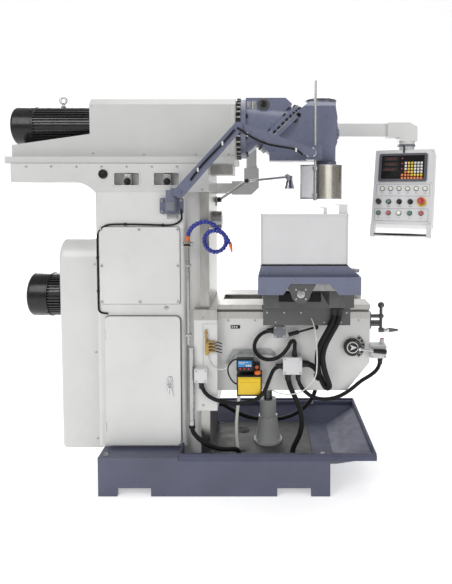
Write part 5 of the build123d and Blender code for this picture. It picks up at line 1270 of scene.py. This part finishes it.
# %% Oil distributor and its lines
block = together(slab((-49, -31), (-262, -245.2), (652, 722), 2.5, 1.2),
    lathe([(5, 0), (5, 10), (7, 11), (7, 18), (4, 19), (4, 28), (8, 30), (8, 38), (5, 41), (5, 50),
        (3, 52)], (-44, -253, 722), UP, 20))
outlets = [block]
for z in (714, 699, 684, 669):
    outlets.append(lathe([(5.5, 0), (5.5, 8), (4, 9), (4, 15), (6, 16), (6, 25), (3.5, 27), (3.5, 33)],
            (-31, -256, z), FORWARD, 20, hexagon))
to_piece("oil_distributor", together(*outlets), brass, "knee")
ends = [tube(smooth_path([(1, -256, z), (12, -256, z - 1), (24, -254, z - 6), (30, -247, z - 10)], 2),
        2.6, 12) for z in (714, 699, 684, 669)]
to_piece("oil_distributor_tails", together(*ends), black_rubber, "knee")
supply = [(-40, -254, 652), (-36, -254, 631), (-21, -253, 603), (3, -252, 582), (30, -251, 577),
    (57, -250, 584), (81, -248, 601), (104, -246, 612)]
rise = [(463, -205, 889), (470, -320, 860), (474, -334, 809), (483, -336, 703), (484, -334, 620),
    (479, -332, 570), (452, -322, 526), (405, -300, 478), (330, -276, 462), (262, -250, 478),
    (226, -240, 520)]
oil_tubes = together(tube(smooth_path(supply, 3), 2.6, 12),
    tube(smooth_path([(458, -303, 842)] + rise[2:], 4), 2.8, 12))
clear_tube = moulded("clear_oil_tube", (0.72, 0.72, 0.68), 0.25, 0.02, 300, 0.3)
to_piece("oil_tubes", oil_tubes, clear_tube, "knee")
loop = [(107, -290, 642), (96, -292, 641), (80, -293, 630), (67, -293, 612), (62, -293, 590),
    (67, -293, 566), (80, -292, 540), (97, -291, 523), (106, -288, 520)]
to_piece("oiler_lead", tube(smooth_path(loop, 3), 3.6, 12), black_rubber, "knee")

# %% [markdown]
# ## Knee fittings
# Boxes with lids and screws, the feed dial and its legend plates. A lid only reads as a lid when there
# is a shadow line under it, so each one is a thin slab that stands a little off its box.

# %% Box lids, recess and label
lids, lid_screws = [], []
for x, y, z in (((329, 418), KNEE_SIDE - 48, (554, 634)), ((-96, -38), -287, (527, 590)),
        ((757, 831), -224, (627, 686))):
    lids.append(slab((x[0] - 2, x[1] + 2), (y - 4, y - 0.6), (z[0] - 2, z[1] + 2), 5, 1.4))
    lid_screws += [screw((a, y - 4, b), LEFT, 4) for a in (x[0] + 7, x[1] - 7)
        for b in (z[0] + 7, z[1] - 7)]
to_piece("knee_box_lids", together(*lids), panel_paint, "knee")
to_piece("knee_box_screws", together(*lid_screws), bright_steel, "knee")
grey_lid = slab((282, 339), (-239, -234.5), (730, 788), 6, 1.5)
to_piece("lock_box_lid", grey_lid, grey_box_paint, "knee")
lock_screws = [screw((a, -239, b), LEFT, 4) for a in (290, 331) for b in (738, 780)]
lock_screws.append(screw((372, -204, 700), LEFT, 4))
to_piece("lock_box_screws", together(*lock_screws), white_plastic, "knee")
recess = frame_outline(73, 352, 2.2, 1.0, 5, (-24.5, -245.2, 625), LEFT)
to_piece("cheek_recess_edge", recess, knee_paint, "knee")
tag = slab((71, 118), (KNEE_SIDE - 1.4, KNEE_SIDE - 0.1), (766, 783), 1, 0.3)
to_piece("knee_tag", tag, black_plastic, "knee")
tag_marks = [slab((76 + 11 * k, 83 + 11 * k), (KNEE_SIDE - 1.8, KNEE_SIDE - 1.45), (771, 778), 0.6, 0.1)
    for k in range(3)]
to_piece("knee_tag_marks", together(*tag_marks), white_plastic, "knee")
rows_of_screws = [screw((x, KNEE_SIDE - 0.1, 806), LEFT, 4.5)
    for x in (60, 190, 640, 700)] + [screw((-60, -245.1, z), LEFT, 5) for z in (400, 830)]
to_piece("knee_screws", together(*rows_of_screws), bright_steel, "knee")

# %% Feed lever, dial and legend plates
DIAL = np.array([668.0, -222.6, 677.0])


def turned_about_y(shape, degrees, place):
    """A piece drawn at the origin, turned in the plane of the knee's side and put in place."""
    a = math.radians(degrees)
    return shape.moved(np.array([[math.cos(a), 0, -math.sin(a)], [0, 1, 0],
            [math.sin(a), 0, math.cos(a)]]), place)


dial = lathe([(30, 0), (41, 2), (43, 5), (43, 19), (40.5, 22), (34, 22.4), (33, 21.4), (0.01, 21.4)],
    (DIAL[0], -200.6, DIAL[2]), LEFT, 64)
lever_grip = lathe([(6, 0), (10.5, 3), (11.5, 30), (12.5, 56), (11, 63), (5, 66), (0.1, 66.4)],
    (764, -246, 669), (1, 0, -0.10), 28)
feed_dial = to_piece("feed_dial", together(dial, lever_grip), black_enamel, "feed_handle")
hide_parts("feed_lever")
stem = together(lathe([(5.5, 0), (5.5, 68), (7, 70)], (700, -246, 675), (1, 0, -0.095), 24),
    lathe([(7, 0), (8, 1), (8, 27), (7, 29)], (700, -221, 675), LEFT, 24))
to_piece("feed_lever_stem", stem, chrome, "feed_handle")
white_ring = lathe([(24, 0), (24, 0.9), (28.5, 0.9), (28.5, 0)], (DIAL[0], -221.9, DIAL[2]), LEFT, 56)
arrow = cut_sheet([(690, 677), (655, 691), (663, 677), (655, 663)], -221.8, -223.2)
ticks = []
for k in range(9):
    a = math.radians(-60 + 15 * k)
    ticks.append(turned_about_y(slab((34.5, 38), (-0.5, 0.3), (-0.9, 0.9), 0.3, 0.1), -60 + 15 * k,
            (DIAL[0], -223.2, DIAL[2])))
to_piece("feed_dial_marks", together(white_ring, arrow, *ticks), white_plastic, "feed_handle")
plates, frames = [], []
for angle in (-50, -30, -10, 10, 30, 50):
    plates.append(turned_about_y(slab((46, 64), (-1.4, 0), (-10, 10), 2, 0.4), angle,
            (DIAL[0], KNEE_SIDE - 0.1, DIAL[2])))
    outline = frame_outline(15, 17, 1.6, 0.5, 2, (55, -1.4, 0), LEFT)
    frames.append(turned_about_y(outline, angle, (DIAL[0], KNEE_SIDE - 0.1, DIAL[2])))
to_piece("feed_legend_plates", together(*plates), black_enamel, "knee")
to_piece("feed_legend_outlines", together(*frames), white_plastic, "knee")
red_cap = lathe([(9, 0), (11, 1), (11, 22), (8, 27), (2, 28)], (817, -192, 689), UP, 32)
to_piece("limit_switch_cap", red_cap, red_plastic, "knee")

# %% Crank handle
handle_profile = [(7, 0), (9, 4), (12.5, 14), (13, 26), (10, 44), (7, 62), (5.5, 74), (6.5, 79), (3, 83)]
to_piece("crank_handle", lathe(handle_profile, (858, 0, 707), FORWARD, 32), chrome, "crank")

# %% [markdown]
# ## Cable arm, lamp and pendant
# The control lead of the head follows the jointed arm. Each link carries its own stretch, held by small
# saddles, so both stretches keep lying on their links at every pose, with a small gap at the elbow.

# %% Leads along the cable arm
lower_lead = [(-105, -310, 1490), (-84, -313, 1520), (-50, -313, 1562), (-10, -313, 1604),
    (30, -313, 1644), (60, -313, 1676), (84, -313, 1704), (100, -312, 1722)]
upper_lead = [(112, -315.5, 1730), (136, -315.5, 1718), (152, -311, 1705), (170, -302, 1694),
    (196, -301, 1680), (240, -301, 1660), (290, -301, 1648),
    (344, -301, 1641), (392, -300, 1630), (414, -298, 1608)]
to_piece("arm_lead_lower", tube(smooth_path(lower_lead, 4), 5, 12), black_rubber, "cable_lower")
to_piece("arm_lead_upper", tube(smooth_path(upper_lead, 4), 5, 12), black_rubber, "cable_upper")
saddles = [slab((x - 4, x + 4), (-319, -306), (z - 9, z + 9), 2, 0.8) for x, z in ((-70, 1538), (44, 1659))]
to_piece("arm_lead_clips_lower", together(*saddles), white_plastic, "cable_lower")
saddles = [slab((x - 4, x + 4), (-308, -296), (z - 9, z + 9), 2, 0.8)
    for x, z in ((158, 1701), (384, 1630))]
to_piece("arm_lead_clips_upper", together(*saddles), white_plastic, "cable_upper")

# %% Painted shade in the saddle slot, and the drip hose
# A black rubber sheet set back inside the saddle slot is painted shade: it darkens the slot's inside, which
# is only in shadow.
shade = slab((297.5, 499.5), (-327, -322), (926.5, 966.5), 2, 0.8)
to_piece("saddle_slot_painted_shade", shade, black_rubber, "saddle")
drip_route = [(112, -146, 456), (110, -148, 420), (104, -150, 362), (97, -150, 300), (95, -150, 240),
    (98, -150, 180), (104, -150, 116)]
drip = to_piece("drip_hose", ribbed_tube(drip_route, 9, 8.0), clear_tube, None, 60)
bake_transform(drip)

# %% Lamp knobs and bracket trim
knobs = lathe([(9, 0), (11, 1), (11, 14), (8, 18), (3, 19)], (140, 150, 1495), LEFT, 40,
    lambda a: 1 + 0.07 * np.cos(6 * a))
to_piece("lamp_elbow_knob", knobs, black_plastic, "lamp_upper")
base_knob = lathe([(9, 0), (11, 1), (11, 14), (8, 18), (3, 19)], (-10, 150, 1392), LEFT, 40,
    lambda a: 1 + 0.07 * np.cos(6 * a))
to_piece("lamp_base_knob", base_knob, black_plastic, "lamp_lower")
corner_bolts = [nut((x, -244.2, z), LEFT, 7, 6) for x in (-250, -162) for z in (1343, 1395)]
to_piece("arm_bracket_bolts", together(*corner_bolts), bright_steel, "frame")

label_box = together(slab((-224, -182), (-297, -260), (1350, 1390), 5, 1.5),
    slab((-216, -190), (-298.4, -297), (1356, 1384), 3, 0.4))
to_piece("arm_bracket_box", label_box, grey_box_paint, "frame")

# %% Rear and far side hardware
far = [screw((x, 230.1, z), (0, 1, 0), 5) for x in (-540, -180) for z in (240, 800, 930, 1230)]
far += [screw((-600, side * 170.1, z), (0, side, 0), 4.5) for side in (-1, 1) for z in (200, 640, 1080)]
to_piece("cover_side_screws", together(*far), bright_steel, "frame")

# %% [markdown]
# ## Saddle, table and tray
# Screws, stops and bright strips mark the sliding joints, and a folded bead stiffens the tray's edge.

# %% Saddle screws, table strip and stops
saddle_screws = [screw((x, -300.1, 868), LEFT, 5) for x in (250, 330, 410, 560, 625)]
saddle_screws += [screw((x, -300.1, 822), LEFT, 4) for x in (290, 520, 600)]
to_piece("saddle_gib_screws", together(*saddle_screws), bright_steel, "saddle")
wiper = together(slab((226, 231), (-206, 206), (866, 884), 1, 0.4, (-1, 0, 0)),
    slab((643, 648), (-206, 206), (866, 884), 1, 0.4, FORWARD))
to_piece("way_wipers", wiper, black_rubber, "saddle")
bearing = together(*[screw((383 + 27 * math.cos(a), -693.2, 1030 + 27 * math.sin(a)), LEFT, 4.5)
        for a in np.radians((45, 135, 225, 315))],
    lathe([(16, 0), (16, 3), (13, 4.5), (6, 4.5), (5.5, 3), (0.01, 3)], (383, -693, 1030),
        LEFT, 32))
to_piece("bearing_screws", bearing, bright_steel, "table")
rod_and_stop = together(lathe([(7, 0), (8, 1), (8, 44), (6, 46)], (576, -650, 1123), (1, -0.03, -0.1),
        24), slab((579, 584), (-600, 600), (1060, 1078), 1.5, 0.5, FORWARD))
to_piece("table_stop_rod", rod_and_stop, bright_steel, "table")
dogs = [slab((584, 598), (y - 16, y + 16), (1054, 1084), 3, 1.2, FORWARD) for y in (-420, -60, 330)]
to_piece("travel_dogs", together(*dogs), black_enamel, "table")
folds = together(slab((223.5, 572.5), (-672, -666), (1343, 1350.5), 2, 0.8),
    slab((222.5, 227), (-672, -666), (1143.5, 1350), 1.2, 0.5),
    slab((569, 573.5), (-672, -666), (1143.5, 1350), 1.2, 0.5))
to_piece("splash_plate_folds", folds, white_paint, "table")
rubber_edge = slab((222, 574), (-671, -664.5), (1141, 1147), 1.5, 0.6)
to_piece("splash_plate_seal", rubber_edge, black_rubber, "table")

# %% Tray bead, strainers and base bolts
bead = frame_outline(932, 704, 9, 7, 6, (300, 0, 198), UP)
to_piece("tray_bead", bead, tray_paint, "frame")
strainers = []
for x, y in ((118, 120), (112, -150)):
    strainers += [ring((x, y, 113.5), UP, 36 - 5 * k, 1.3, 48, 8) for k in range(0, 7)]
    strainers += [slab((x - 35, x + 35), (y - 1.2, y + 1.2), (112.6, 115), 0.6, 0.3, UP),
        slab((x - 1.2, x + 1.2), (y - 35, y + 35), (112.6, 115), 0.6, 0.3, UP)]
to_piece("sump_strainers", together(*strainers), dark_paint, "frame")
cover_bolts = [screw((x, y, 112.3), UP, 6) for x in (-2, 230, 462) for y in (-210, 210)]
to_piece("sump_cover_screws", together(*cover_bolts), bright_steel, "frame")
collars = together(ring((256, 0, 249), UP, 47, 1.6, 56, 8),
    *[nut((256 + 62 * math.cos(a), 62 * math.sin(a), 124.3), UP, 8, 8)
        for a in np.radians((45, 135, 225, 315))])
to_piece("pedestal_bolts", collars, bright_steel, "frame")
foot_bolts = []
for x in (-515, 515):
    for y in (-318, 318):
        foot_bolts.append(nut((x, y, 188), UP, 9, 10))
        foot_bolts.append(lathe([(14, 0), (14, 2), (12, 2.6)], (x, y, 187.2), UP, 28))
to_piece("base_levelling_bolts", together(*foot_bolts), bright_steel, "frame")
